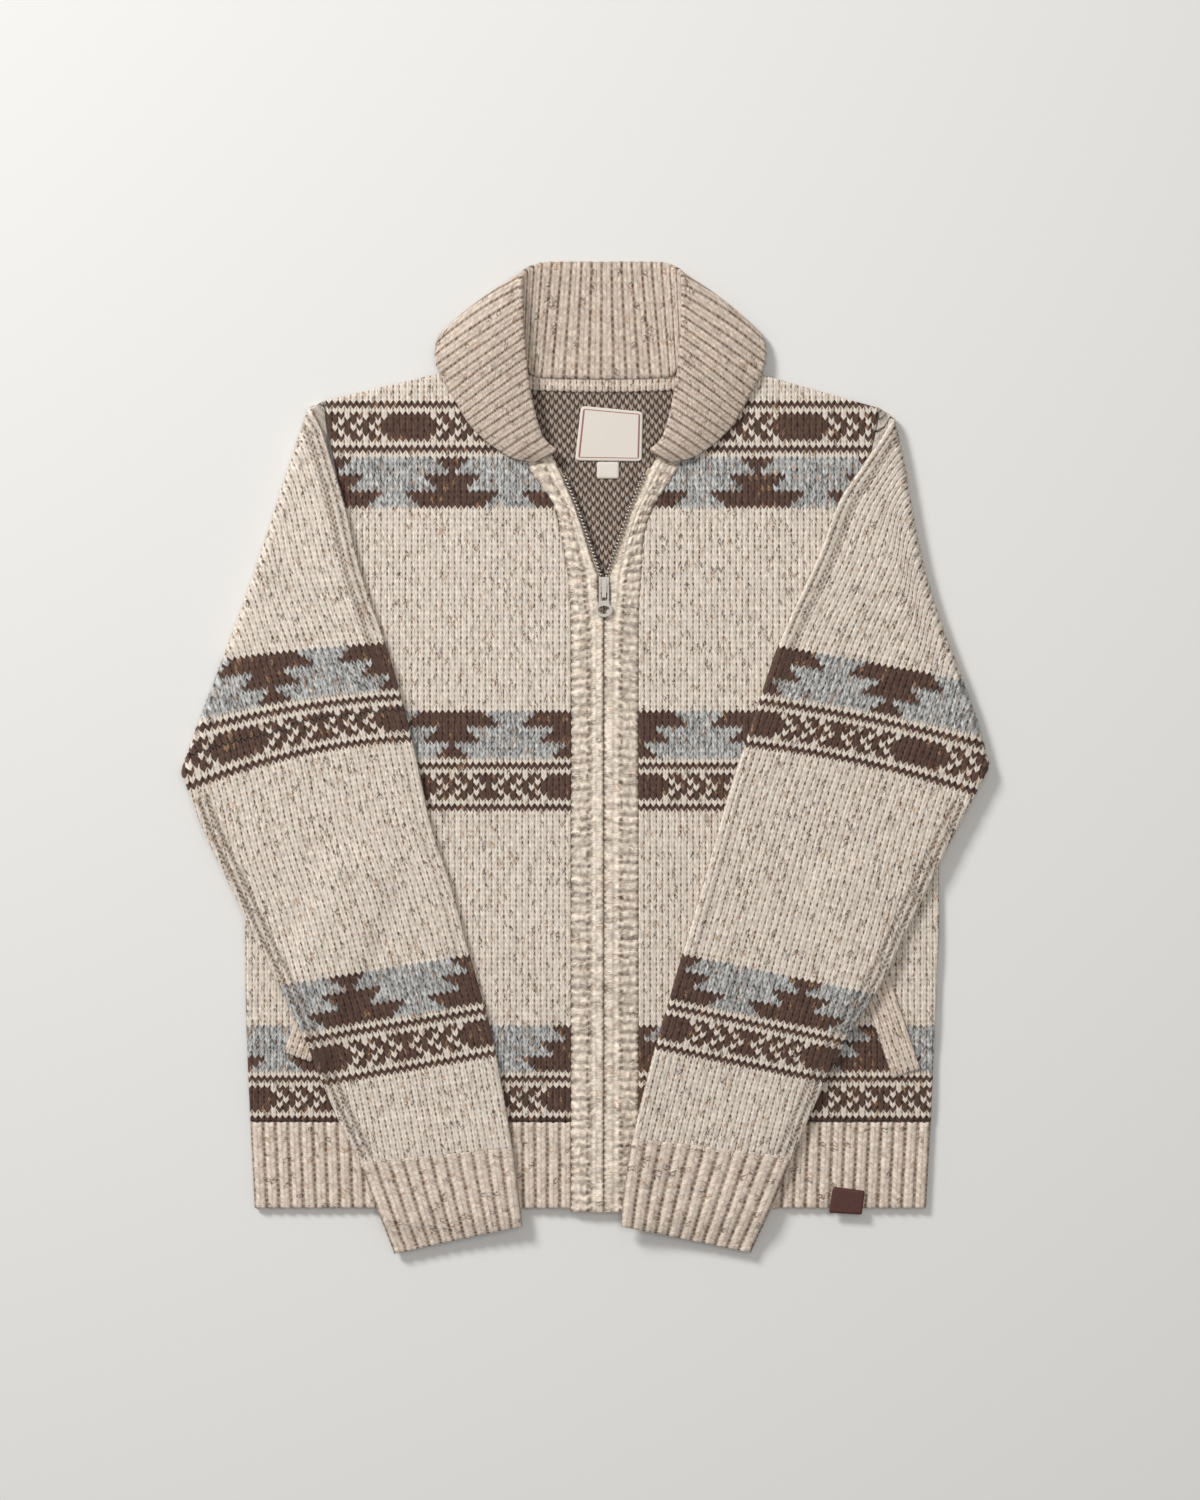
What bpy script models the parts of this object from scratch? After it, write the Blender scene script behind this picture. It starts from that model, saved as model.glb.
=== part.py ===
"""Zip-up sweater with a shawl collar, laid flat with its sleeves folded over the front.

Tables and sizes are in millimetres, in the sweater's own plan: x runs to the right of the
zip, y runs up from the hem and z up from the floor. "Left" and "right" are as seen from
above, so the left front is the wearer's right front. The last step turns the millimetres
into metres and puts the origin under the middle of the whole sweater.
"""
import math
from collections import namedtuple

import bmesh
import bpy
from mathutils import Vector

MM = 0.001
NAME = "zip_up_sweater"

# Cloth and clearances
WALL = 3.0
GAP = 0.4
LAYER = WALL + GAP
RIB_HEIGHT = 1.0

# Heights that the layers lie at
FRONT_LEVEL = LAYER
FOLD_CENTRE = 6.6
SLEEVE_EASE = 0.35
FOLD_CLOTH = 10.4
SLEEVE_DEPTH = 2.0 * WALL + GAP

# Hem and ribs
HEM_LOW = 0.6
HEM_TOP = 70.0
HEM_SEAM = HEM_TOP + GAP
RIB_PITCH = 9.8
COLLAR_RIBS = 54
PLACKET_PITCH = 7.6

SideRow = namedtuple("SideRow", "y left right")
BODY_SIDES = (
    SideRow(0.0, -280.0, 258.0),
    SideRow(70.0, -283.5, 262.0),
    SideRow(140.0, -286.5, 265.0),
    SideRow(220.0, -288.0, 268.5),
    SideRow(310.0, -288.5, 268.5),
    SideRow(380.0, -288.0, 265.0),
)

Armhole = namedtuple("Armhole", "shoulder armpit depth")
ARMHOLES = {
    "l": Armhole((-224.0, 648.0), (-288.0, 378.0), 52.0),
    "r": Armhole((220.8, 642.0), (264.8, 380.0), 48.0),
}
FRONT_NECK_INSET = 0.04
NECK_POINTS = {"l": (-63.5, 688.0), "r": (58.0, 690.0)}

# The placket's two long edges, from the hem up to the collar
PlacketRow = namedtuple("PlacketRow", "seam_x seam_y zip_x zip_y")
PLACKETS = {
    "l": (
        PlacketRow(-25.6, -2.4, -0.4, -2.4),
        PlacketRow(-25.6, 240.0, -0.4, 240.0),
        PlacketRow(-25.8, 468.0, -0.5, 472.0),
        PlacketRow(-26.4, 489.0, -4.9, 490.0),
        PlacketRow(-28.4, 510.0, -5.2, 508.0),
        PlacketRow(-33.5, 541.0, -14.0, 538.0),
        PlacketRow(-40.5, 567.0, -22.5, 563.0),
        PlacketRow(-50.0, 580.0, -30.6, 582.0),
        PlacketRow(-58.0, 592.0, -38.6, 600.5),
    ),
    "r": (
        PlacketRow(26.8, -2.4, 0.4, -2.4),
        PlacketRow(26.8, 240.0, 0.4, 240.0),
        PlacketRow(27.0, 466.0, 0.5, 472.0),
        PlacketRow(27.6, 488.0, 4.9, 490.0),
        PlacketRow(29.4, 512.0, 5.2, 507.0),
        PlacketRow(31.0, 540.0, 14.0, 535.0),
        PlacketRow(37.0, 560.0, 22.0, 560.0),
        PlacketRow(47.0, 576.0, 31.0, 580.0),
        PlacketRow(56.5, 591.0, 38.4, 597.5),
    ),
}

# Across a placket, from its seam to the zip: height of the cloth and share of the ridge
Profile = namedtuple("Profile", "across height ridge")
PLACKET_PROFILE = (
    Profile(0.0, 1.4, 0.0),
    Profile(0.06, 3.0, 1.0),
    Profile(0.56, 3.1, 1.0),
    Profile(0.66, 2.5, 0.1),
    Profile(0.93, 2.9, 0.0),
    Profile(1.0, 1.3, 0.0),
)
PLACKET_RIDGE = 1.2
PLACKET_UNDER = 6.6

# Half of the zip, by height above the hem: inner edge of the tape that carries the teeth
TapeRow = namedtuple("TapeRow", "y inner width")
TAPE = (
    TapeRow(0.0, 0.3, 13.0),
    TapeRow(496.0, 0.3, 13.0),
    TapeRow(501.5, 1.9, 12.0),
    TapeRow(508.0, 2.6, 11.5),
    TapeRow(536.0, 12.2, 8.5),
    TapeRow(560.0, 20.4, 8.0),
    TapeRow(580.0, 28.6, 8.0),
    TapeRow(594.0, 35.2, 8.0),
)
TAPE_LEVEL = 5.0
TAPE_THICKNESS = 1.2
FLARE_START = 520.0
TAPE_SLANT = 0.75

# Slider and pull tab
SLIDER_TOP = 506.5
SLIDER_LENGTH = 12.5
SLIDER_WIDTH = 8.6
PLATE = 1.2
HINGE_Y = 499.2
HINGE_Z = 9.8
PULL_TILT = math.radians(4.5)
PULL_THICKNESS = 1.5

SLEEVE_COLUMNS = 7
SLEEVE_STEPS = 14
ARMHOLE_GAP = 0.7

# Sleeves: the lower edge is the underarm seam. Points beyond the fold line lie in the
# hidden part, which turns under the visible one along that line.
FoldLine = namedtuple("FoldLine", "top bottom bow")
FOLDS = {
    "l": FoldLine((-230.4, 641.6), (-328.8, 360.0), 2.5),
    "r": FoldLine((225.6, 636.0), (296.8, 376.0), 8.5),
}
SleeveRow = namedtuple("SleeveRow", "inner_x inner_y outer_x outer_y bulge")
SLEEVES = {
    "l": (
        SleeveRow(-225.6, 624.0, -357.0, 397.0, 40.0),
        SleeveRow(-216.0, 593.6, -353.3, 387.5, 28.0),
        SleeveRow(-206.4, 560.8, -348.5, 375.0, 17.0),
        SleeveRow(-193.6, 508.0, -341.3, 356.6, 8.0),
        SleeveRow(-170.4, 440.0, -331.2, 331.0, 3.0),
        SleeveRow(-152.0, 372.0, -319.2, 300.0, 0.0),
        SleeveRow(-139.2, 312.0, -299.2, 259.2, 0.0),
        SleeveRow(-122.4, 260.0, -279.6, 217.6, 0.0),
        SleeveRow(-107.2, 204.0, -253.6, 167.2, 0.0),
        SleeveRow(-90.4, 144.0, -235.6, 128.0, 0.0),
        SleeveRow(-80.8, 96.0, -217.6, 83.2, 0.0),
        SleeveRow(-72.4, 47.0, -194.0, 34.4, 0.0),
    ),
    "r": (
        SleeveRow(222.4, 618.4, 329.0, 392.5, 38.0),
        SleeveRow(206.4, 595.2, 324.3, 383.5, 27.0),
        SleeveRow(187.2, 565.6, 317.9, 371.3, 17.0),
        SleeveRow(169.6, 520.0, 308.2, 353.2, 8.0),
        SleeveRow(141.6, 458.4, 294.9, 327.9, 3.0),
        SleeveRow(118.4, 390.4, 278.8, 297.6, 0.0),
        SleeveRow(98.4, 330.0, 259.2, 257.6, 0.0),
        SleeveRow(83.2, 276.0, 240.8, 220.0, 0.0),
        SleeveRow(68.0, 224.0, 222.4, 182.4, 0.0),
        SleeveRow(50.4, 163.0, 196.8, 141.6, 0.0),
        SleeveRow(36.8, 116.0, 171.2, 89.6, 0.0),
        SleeveRow(21.8, 55.0, 149.2, 39.2, 0.0),
    ),
}
CuffRow = namedtuple("CuffRow", "inner_x inner_y outer_x outer_y")
CUFFS = {
    "l": (
        CuffRow(-72.3, 46.6, -193.8, 34.0),
        CuffRow(-68.8, 18.0, -182.6, 4.0),
        CuffRow(-65.0, -12.6, -168.0, -35.4),
    ),
    "r": (
        CuffRow(21.7, 54.6, 149.0, 38.8),
        CuffRow(16.6, 20.0, 133.6, 2.0),
        CuffRow(13.4, -12.6, 117.6, -34.6),
    ),
}
CUFF_RIBS = 11

# Pocket welts lie slanted on the fronts, their upper ends under the sleeves
Welt = namedtuple("Welt", "bottom top")
WELTS = {
    "l": Welt((-245.6, 121.6), (-197.6, 262.4)),
    "r": Welt((242.4, 108.8), (193.6, 252.0)),
}
WELT_HALF = 12.0
WELT_WALL = 2.2
WELT_RIB = 0.6
WELT_RISE = 3.5

# Collar: at each station the cloth runs from the neck seam up to the roll and down to the
# free edge. Lean is 0 where the fall lies on top and 180 where it lies beneath, and facing
# is the direction, in plan, that leads away from the neck.
CollarRow = namedtuple(
    "CollarRow",
    "roll_x roll_y roll_z edge_x edge_y edge_z seam_x seam_y seam_z lean facing puff")
COLLAR_HALF = (
    CollarRow(-38.4, 607.0, 12.2, -54.0, 598.5, 10.4, -44.0, 602.0, 10.2, 0.0, 222.0, 0.5),
    CollarRow(-50.4, 619.5, 13.2, -76.8, 603.2, 9.8, -56.0, 614.0, 10.0, 8.0, 215.0, 2.0),
    CollarRow(-59.2, 652.0, 14.6, -103.2, 623.2, 9.2, -66.0, 642.0, 9.8, 20.0, 213.0, 3.0),
    CollarRow(-64.0, 688.0, 16.0, -119.2, 647.2, 9.0, -72.0, 664.0, 9.6, 38.0, 213.0, 3.5),
    CollarRow(-66.4, 724.0, 16.5, -135.0, 679.0, 8.6, -74.0, 682.0, 9.4, 62.0, 205.0, 4.0),
    CollarRow(-66.5, 747.0, 13.5, -127.0, 703.0, 4.8, -67.0, 692.0, 9.4, 115.0, 140.0, 3.0),
    CollarRow(-54.0, 755.5, 5.4, -84.0, 700.0, 1.8, -57.0, 679.0, 7.4, 168.0, 100.0, 0.0),
    CollarRow(-36.0, 756.4, 3.3, -44.0, 695.0, 1.55, -44.0, 668.5, 5.0, 180.0, 90.0, 0.0),
    CollarRow(0.0, 756.4, 3.3, 0.0, 694.0, 1.55, 0.0, 667.6, 5.0, 180.0, 90.0, 0.0),
)
COLLAR_RIGHT_SCALE = 0.96
COLLAR_HALF_GAP = 1.75

# Trims on the inside of the back and on the hem, by their corners in plan
NECK_LABEL = ((-18.4, 644.0), (31.2, 639.2), (30.4, 599.4), (-23.2, 600.0))
SIZE_TAB = ((-5.6, 599.0), (12.0, 599.0), (12.0, 585.6), (-5.6, 585.6))
HEM_PATCH = ((183.2, 18.4), (208.8, 15.2), (206.4, -4.0), (180.0, -2.4))

KNIT_COLOUR = (0.60, 0.52, 0.44)
Finish = namedtuple("Finish", "colour roughness metallic")
FINISHES = {
    "knit": Finish(KNIT_COLOUR, 0.95, 0.0),
    "rib": Finish((0.55, 0.46, 0.38), 0.95, 0.0),
    "tape": Finish((0.42, 0.37, 0.31), 0.8, 0.0),
    "metal": Finish((0.62, 0.60, 0.57), 0.35, 1.0),
    "leather": Finish((0.09, 0.035, 0.026), 0.55, 0.0),
    "label": Finish((0.75, 0.70, 0.63), 0.8, 0.0),
}


def lerp(first, second, share):
    """Blend two numbers."""
    return first + (second - first) * share


def smooth(share):
    """Ease a share from 0 to 1, held at both ends."""
    share = max(0.0, min(1.0, share))
    return share * share * (3.0 - 2.0 * share)


def blend_rows(rows, share):
    """Read a table of rows at a share of its length, along a smooth curve."""
    place = max(0.0, min(1.0, share)) * (len(rows) - 1)
    index = min(int(place), len(rows) - 2)
    t = place - index
    before = rows[max(index - 1, 0)]
    after = rows[min(index + 2, len(rows) - 1)]
    values = []
    for a, b, c, d in zip(before, rows[index], rows[index + 1], after):
        bend = b + 0.5 * t * (c - a + t * (2 * a - 5 * b + 4 * c - d + t * (3 * (b - c) + d - a)))
        values.append(bend)
    return type(rows[0])(*values)


def read_column(rows, key, column, value):
    """Look up one column of a table by the value of another, between its rows."""
    for low, high in zip(rows, rows[1:]):
        start, end = getattr(low, key), getattr(high, key)
        if value <= end or high is rows[-1]:
            share = max(0.0, min(1.0, (value - start) / (end - start)))
            return lerp(getattr(low, column), getattr(high, column), share)
    return getattr(rows[-1], column)


def lift(x, y):
    """Soft rise of the fronts towards the bulk of the zip and over the chest."""
    zip_rise = 2.2 * math.exp(-(x / 55.0) ** 2)
    chest = 0.9 * math.exp(-((abs(x) - 140.0) / 60.0) ** 2 - ((y - 400.0) / 130.0) ** 2)
    return zip_rise + chest


def front_top(x, y):
    """Upper face of a front panel."""
    return FRONT_LEVEL + WALL + lift(x, y)


def welt_distance(side, x, y):
    """Distance in plan from a pocket welt's middle line."""
    low, high = Vector(WELTS[side].bottom), Vector(WELTS[side].top)
    run = high - low
    share = (Vector((x, y)) - low).dot(run) / run.length_squared
    return (Vector((x, y)) - low - run * max(0.0, min(1.0, share))).length


def sleeve_rise(side, x, y):
    """How far a folded-over sleeve is lifted by what it lies on, and how it droops."""
    placket = 1.7 * math.exp(-(max(0.0, abs(x) - 24.0) / 14.0) ** 2)
    hem_ribs = RIB_HEIGHT * smooth((80.0 - y) / 12.0)
    welt = WELT_RISE * smooth((WELT_HALF + 26.0 - welt_distance(side, x, y)) / 24.0)
    droop = 5.2 * smooth((-3.0 - y) / 26.0)
    return lift(x, y) + placket + hem_ribs + welt - droop + SLEEVE_EASE


def cap_curve(share):
    """Depth profile of an armhole between its two ends, deepest near the armpit."""
    return math.sin(math.pi * max(0.0, min(1.0, share)) ** 1.2)


def armhole_point(side, share, inset=0.0):
    """Point on an armhole seam, from the shoulder down to the armpit.

    inset moves it towards the body.
    """
    hole = ARMHOLES[side]
    top, bottom = Vector(hole.shoulder), Vector(hole.armpit)
    run = bottom - top
    inward = Vector((-run.y, run.x)).normalized()
    if side == "r":
        inward = -inward
    return top + run * share + inward * (hole.depth * cap_curve(share) + inset)


class Fold:
    """A line that a flat sleeve is folded over, and where its cloth then lies."""

    def __init__(self, side):
        self.side = side
        line = FOLDS[side]
        self.top = Vector(line.top)
        run = Vector(line.bottom) - self.top
        self.length = run.length
        self.along = run.normalized()
        outward = -1.0 if side == "l" else 1.0
        self.out = Vector((-self.along.y, self.along.x))
        if self.out.x * outward < 0.0:
            self.out = -self.out
        self.bow = line.bow

    def distance(self, point):
        """Signed distance from the line, positive beyond it."""
        return (Vector(point[:2]) - self.top).dot(self.out)

    def unfolded(self, point):
        """Place, in the flat sleeve, of a point in the hidden part."""
        shift = FOLD_CLOTH - 2.0 * self.distance(point)
        return Vector(point) + self.out * shift

    def place(self, x, y, height):
        """Folded place of a point of the flat sleeve, at a height in its two layers."""
        far = self.distance((x, y))
        foot = Vector((x, y)) - self.out * far
        turn = math.pi * max(0.0, min(1.0, far / FOLD_CLOTH))
        radius = FOLD_CENTRE - height
        offset = radius * math.sin(turn)
        if far < 0.0:
            offset += far
        if far > FOLD_CLOTH:
            offset -= far - FOLD_CLOTH
        z = FOLD_CENTRE + radius * math.cos(turn)
        share = max(0.0, min(1.0, (foot - self.top).dot(self.along) / self.length))
        reach = 26.0 if far < 0.0 else 10.0
        hollow = self.bow * math.sin(math.pi * share) ** 2 * smooth(1.0 + offset / reach)
        plan = foot + self.out * (offset - hollow)
        if far < 0.0:
            z += sleeve_rise(self.side, plan.x, plan.y) * smooth(-far / 25.0)
        return Vector((plan.x, plan.y, z))


def material(name):
    """One Principled material for a piece, from the table of finishes."""
    finish = FINISHES[name]
    made = bpy.data.materials.new(name)
    made.use_nodes = True
    shader = made.node_tree.nodes["Principled BSDF"]
    shader.inputs["Base Color"].default_value = (*finish.colour, 1.0)
    shader.inputs["Roughness"].default_value = finish.roughness
    shader.inputs["Metallic"].default_value = finish.metallic
    return made


def keep(name, mesh, finish):
    """Make an object of a mesh in the sweater's collection."""
    made = bpy.data.objects.new(name, mesh)
    bpy.data.collections[NAME].objects.link(made)
    mesh.materials.clear()
    mesh.materials.append(material(finish))
    return made


def finish_mesh(name, bm, finish):
    """Turn a bmesh in millimetres into a smooth-shaded object in metres."""
    bmesh.ops.recalc_face_normals(bm, faces=bm.faces)
    if bm.calc_volume(signed=True) < 0.0:
        bmesh.ops.reverse_faces(bm, faces=bm.faces)
    bmesh.ops.scale(bm, vec=(MM, MM, MM), verts=bm.verts)
    mesh = bpy.data.meshes.new(name)
    bm.to_mesh(mesh)
    bm.free()
    mesh.shade_smooth()
    mesh.set_sharp_from_angle(angle=math.radians(40.0))
    return keep(name, mesh, finish)


def add_grid(bm, grid, ring=False):
    """Add a grid of points as quads. A ring closes each row on itself."""
    rows = [[bm.verts.new(point) for point in row] for row in grid]
    for low, high in zip(rows, rows[1:]):
        count = len(low) if ring else len(low) - 1
        for i in range(count):
            j = (i + 1) % len(low)
            bm.faces.new((low[i], low[j], high[j], high[i]))
    return rows


def length_shares(line):
    """Share of a line's length at which each of its vertices lies."""
    lengths = [0.0]
    for start, end in zip(line, line[1:]):
        lengths.append(lengths[-1] + (end.co - start.co).length)
    return [length / lengths[-1] for length in lengths]


def stitch(bm, first, second):
    """Close the strip between two lines of vertices that may differ in number."""
    i = j = 0
    first_shares, second_shares = length_shares(first), length_shares(second)
    while i < len(first) - 1 or j < len(second) - 1:
        only_first = j == len(second) - 1
        if only_first or (i < len(first) - 1 and first_shares[i + 1] <= second_shares[j + 1]):
            bm.faces.new((first[i], first[i + 1], second[j]))
            i += 1
        else:
            bm.faces.new((first[i], second[j + 1], second[j]))
            j += 1


def closed_wall(name, outer, inner, finish, ring=False):
    """A wall between an outer grid and a plainer inner one, closed along its edges."""
    bm = bmesh.new()
    out_rows = add_grid(bm, outer, ring)
    in_rows = add_grid(bm, inner, ring)
    for side in (0, -1):
        out_line, in_line = out_rows[side], in_rows[side]
        if ring:
            out_line, in_line = out_line + out_line[:1], in_line + in_line[:1]
        stitch(bm, out_line, in_line)
    if not ring:
        for side in (0, -1):
            stitch(bm, [row[side] for row in out_rows], [row[side] for row in in_rows])
    return finish_mesh(name, bm, finish)


def panel(name, grid, finish, thickness=WALL, rounding=0.9):
    """An open sheet with Solidify upwards and rounded edges."""
    bm = bmesh.new()
    add_grid(bm, grid)
    bmesh.ops.recalc_face_normals(bm, faces=bm.faces)
    bm.normal_update()
    if sum(face.normal.z for face in bm.faces) < 0.0:
        bmesh.ops.reverse_faces(bm, faces=bm.faces)
    bmesh.ops.scale(bm, vec=(MM, MM, MM), verts=bm.verts)
    mesh = bpy.data.meshes.new(name)
    bm.to_mesh(mesh)
    bm.free()
    made = keep(name, mesh, finish)
    solid = made.modifiers.new("wall", "SOLIDIFY")
    solid.thickness = thickness * MM
    solid.offset = 1.0
    if rounding:
        bevel = made.modifiers.new("edges", "BEVEL")
        bevel.width = rounding * MM
        bevel.segments = 1
        bevel.limit_method = "ANGLE"
        bevel.angle_limit = math.radians(60.0)
    return made


def corner_grid(corners, columns, rows, height):
    """Grid over a four-cornered piece given by its corners in plan."""
    a, b, c, d = [Vector(corner) for corner in corners]
    grid = []
    for i in range(rows + 1):
        left, right = a.lerp(d, i / rows), b.lerp(c, i / rows)
        points = [left.lerp(right, j / columns) for j in range(columns + 1)]
        grid.append([(p.x, p.y, height(p.x, p.y)) for p in points])
    return grid


def side_edge(side, y, inset=0.0):
    """Point on the body's side seam."""
    column = "left" if side == "l" else "right"
    inward = inset if side == "l" else -inset
    return Vector((read_column(BODY_SIDES, "y", column, y) + inward, y))


def outer_edge(side):
    """A body panel's outer edge: up the side seam, then up the armhole to the shoulder."""
    points = [side_edge(side, row) for row in (HEM_SEAM, 140.0, 220.0, 310.0, 366.0)]
    hole = ARMHOLES[side]
    width = (Vector(hole.armpit) - Vector(hole.shoulder)).length
    ring = flat_ring(width, SLEEVE_COLUMNS, SLEEVE_DEPTH / 2.0)
    shares = [across / width for across, height in ring[:SLEEVE_COLUMNS + 5]]
    points += [armhole_point(side, share, ARMHOLE_GAP) for share in reversed(shares)]
    return points


def back_panel():
    """The back, flat on the floor, with its shoulders and its hollowed neck edge."""
    lefts, rights = outer_edge("l"), outer_edge("r")
    neck_l, neck_r = Vector(NECK_POINTS["l"]), Vector(NECK_POINTS["r"])
    top = [lefts[-1], lefts[-1].lerp(neck_l, 0.5), neck_l]
    for share in (0.1, 0.25, 0.5, 0.75, 0.9):
        drop = 20.5 * min(1.0, math.sin(math.pi * share) ** 0.5)
        point = neck_l.lerp(neck_r, share)
        top.append(Vector((point.x, point.y - drop)))
    top += [neck_r, rights[-1].lerp(neck_r, 0.5), rights[-1]]
    span = top[-1].x - top[0].x
    shares = [(point.x - top[0].x) / span for point in top]
    grid = []
    for left, right in zip(lefts[:-1], rights[:-1]):
        row = [left.lerp(right, share) for share in shares]
        grid.append([(p.x, p.y, 0.0) for p in row])
    grid.append([(p.x, p.y, 0.0) for p in top])
    panel("back_panel", grid, "knit")


def placket_row(side, y):
    """Row of a placket's table at a height above the hem, read at the seam edge."""
    rows = PLACKETS[side]
    return PlacketRow(
        read_column(rows, "seam_y", "seam_x", y), y,
        read_column(rows, "seam_y", "zip_x", y), read_column(rows, "seam_y", "zip_y", y))


def front_panel(side):
    """A front, from its side seam to the placket and from the hem to the shoulder."""
    away = -1.0 if side == "l" else 1.0
    outer = outer_edge(side)
    inner_heights = [HEM_SEAM, 140.0, 220.0, 310.0, 366.0, 392.0, 418.0, 443.0]
    inner_heights += [row.seam_y for row in PLACKETS[side][2:]]
    inner = []
    for y in inner_heights:
        slant = 1.0 + 1.5 * smooth((y - 480.0) / 60.0)
        inner.append(Vector((placket_row(side, y).seam_x + away * GAP * slant, y)))
    neck = Vector(NECK_POINTS[side])
    inner.append(Vector((neck.x + away, 640.0)))
    inner.append(neck.lerp(outer[-1], FRONT_NECK_INSET))
    columns = 9
    grid = []
    for start, end in zip(outer, inner):
        row = [start.lerp(end, i / columns) for i in range(columns + 1)]
        grid.append([(p.x, p.y, FRONT_LEVEL + lift(p.x, p.y)) for p in row])
    panel("front_" + side, grid, "knit")


def rib_profile(ribs, trough=0.0, crest=RIB_HEIGHT):
    """Shares across a ribbed width and the height that is added at each."""
    points = [(0.0, trough)]
    for rib in range(ribs):
        points.append(((rib + 0.25) / ribs, crest))
        points.append(((rib + 0.7) / ribs, crest))
        points.append(((rib + 1.0) / ribs, trough))
    return points


def hem_front(side):
    """A front hem of raised ribs, from the side seam to the placket."""
    away = -1.0 if side == "l" else 1.0
    heights = (HEM_LOW, 3.0, HEM_TOP - 2.0, HEM_TOP)
    rise = (-1.2, 0.0, 0.0, -1.0)
    width = abs(side_edge(side, 30.0).x) - 27.0
    ribs = round(width / RIB_PITCH)
    outer, inner = [], []
    for y, step in zip(heights, rise):
        start = side_edge(side, y)
        end = Vector((placket_row(side, y).seam_x + away * GAP, y))
        row = []
        for share, add in rib_profile(ribs):
            p = start.lerp(end, share)
            row.append((p.x, p.y, front_top(p.x, p.y) + add + step))
        outer.append(row)
    for y in (HEM_LOW, HEM_TOP):
        start = side_edge(side, y)
        end = Vector((placket_row(side, y).seam_x + away * GAP, y))
        row = [start.lerp(end, i / 12) for i in range(13)]
        inner.append([(p.x, p.y, FRONT_LEVEL + lift(p.x, p.y)) for p in row])
    closed_wall("hem_front_" + side, outer, inner, "rib")


def hem_back():
    """The back hem, which rests flat, so that it is plain on both faces."""
    upper = [side_edge(side, HEM_TOP) for side in ("l", "r")]
    lower = [side_edge(side, HEM_LOW) for side in ("r", "l")]
    panel("hem_back", corner_grid(upper + lower, 4, 1, lambda x, y: 0.0), "rib")


def placket(side):
    """A front band: cross ridges along its seam half, a plain strip along the zip."""
    rows = PLACKETS[side]
    length = rows[-1].zip_y - rows[0].zip_y
    steps = 2 * round(length / PLACKET_PITCH)
    fine = list(range(steps + 1))
    coarse = [step for step in fine if step % 16 == 0 and step < 0.74 * steps]
    coarse += [step for step in fine if step % 2 == 0 and step >= 0.76 * steps]

    def under(share):
        return lerp(FRONT_LEVEL + lift(26.0, 0.0), PLACKET_UNDER, smooth(share / 0.45))

    def line(profile, stations, top):
        points = []
        for step in stations:
            y = lerp(rows[0].seam_y, rows[-1].seam_y, step / steps)
            row = placket_row(side, y)
            x = lerp(row.seam_x, row.zip_x, profile.across)
            end = 0.8 if step in (0, steps) and profile.height > 2.0 else 0.0
            ridge = PLACKET_RIDGE * profile.ridge * (step % 2)
            height = (profile.height + ridge - end) if top else 0.0
            y = lerp(row.seam_y, row.zip_y, profile.across)
            points.append((x, y, under(profile.across) + height))
        return points

    bm = bmesh.new()
    ridged = add_grid(bm, [line(p, fine, True) for p in PLACKET_PROFILE if p.across < 0.6])
    plain = add_grid(bm, [line(p, coarse, True) for p in PLACKET_PROFILE if p.across > 0.6])
    shares = [Profile(share, 0.0, 0.0) for share in (0.0, 0.45, 1.0)]
    under_rows = add_grid(bm, [line(p, coarse, False) for p in shares])
    stitch(bm, ridged[-1], plain[0])
    stitch(bm, ridged[0], under_rows[0])
    stitch(bm, plain[-1], under_rows[-1])
    for end in (0, -1):
        stitch(bm, [row[end] for row in ridged + plain], [row[end] for row in under_rows])
    finish_mesh("placket_" + side, bm, "rib")


def zip_tape(side):
    """One half of the zip's tape, under the placket, with its inner edge along the teeth."""
    away = -1.0 if side == "l" else 1.0
    grid = []
    for row in TAPE:
        inner = away * row.inner
        slope = TAPE_SLANT if row.y > FLARE_START else 0.0
        outer = away * (row.inner + row.width)
        grid.append([(inner, row.y, TAPE_LEVEL), (outer, row.y - slope, TAPE_LEVEL)])
    panel("zip_tape_" + side, grid, "tape", TAPE_THICKNESS, 0.0)


def block(size, centre, taper=1.0):
    """A block in millimetres. taper narrows its lower end in plan."""
    bpy.ops.mesh.primitive_cube_add(size=1.0)
    made = bpy.context.object
    for vertex in made.data.vertices:
        narrow = taper if vertex.co.y < 0.0 else 1.0
        vertex.co.x *= size[0] * narrow * MM
        vertex.co.y *= size[1] * MM
        vertex.co.z *= size[2] * MM
        vertex.co += Vector(centre) * MM
    return made


def join_solids(name, pieces, finish, rounding):
    """Union of overlapping solids, as one object with rounded edges."""
    base = pieces[0]
    for piece in pieces[1:]:
        union = base.modifiers.new("union", "BOOLEAN")
        union.operation = "UNION"
        union.solver = "EXACT"
        union.object = piece
    graph = bpy.context.evaluated_depsgraph_get()
    mesh = bpy.data.meshes.new_from_object(base.evaluated_get(graph))
    for piece in pieces:
        bpy.data.objects.remove(piece)
    made = keep(name, mesh, finish)
    made.data.name = name
    bevel = made.modifiers.new("edges", "BEVEL")
    bevel.width = rounding * MM
    bevel.segments = 1
    bevel.limit_method = "ANGLE"
    bevel.angle_limit = math.radians(60.0)
    return made


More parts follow.
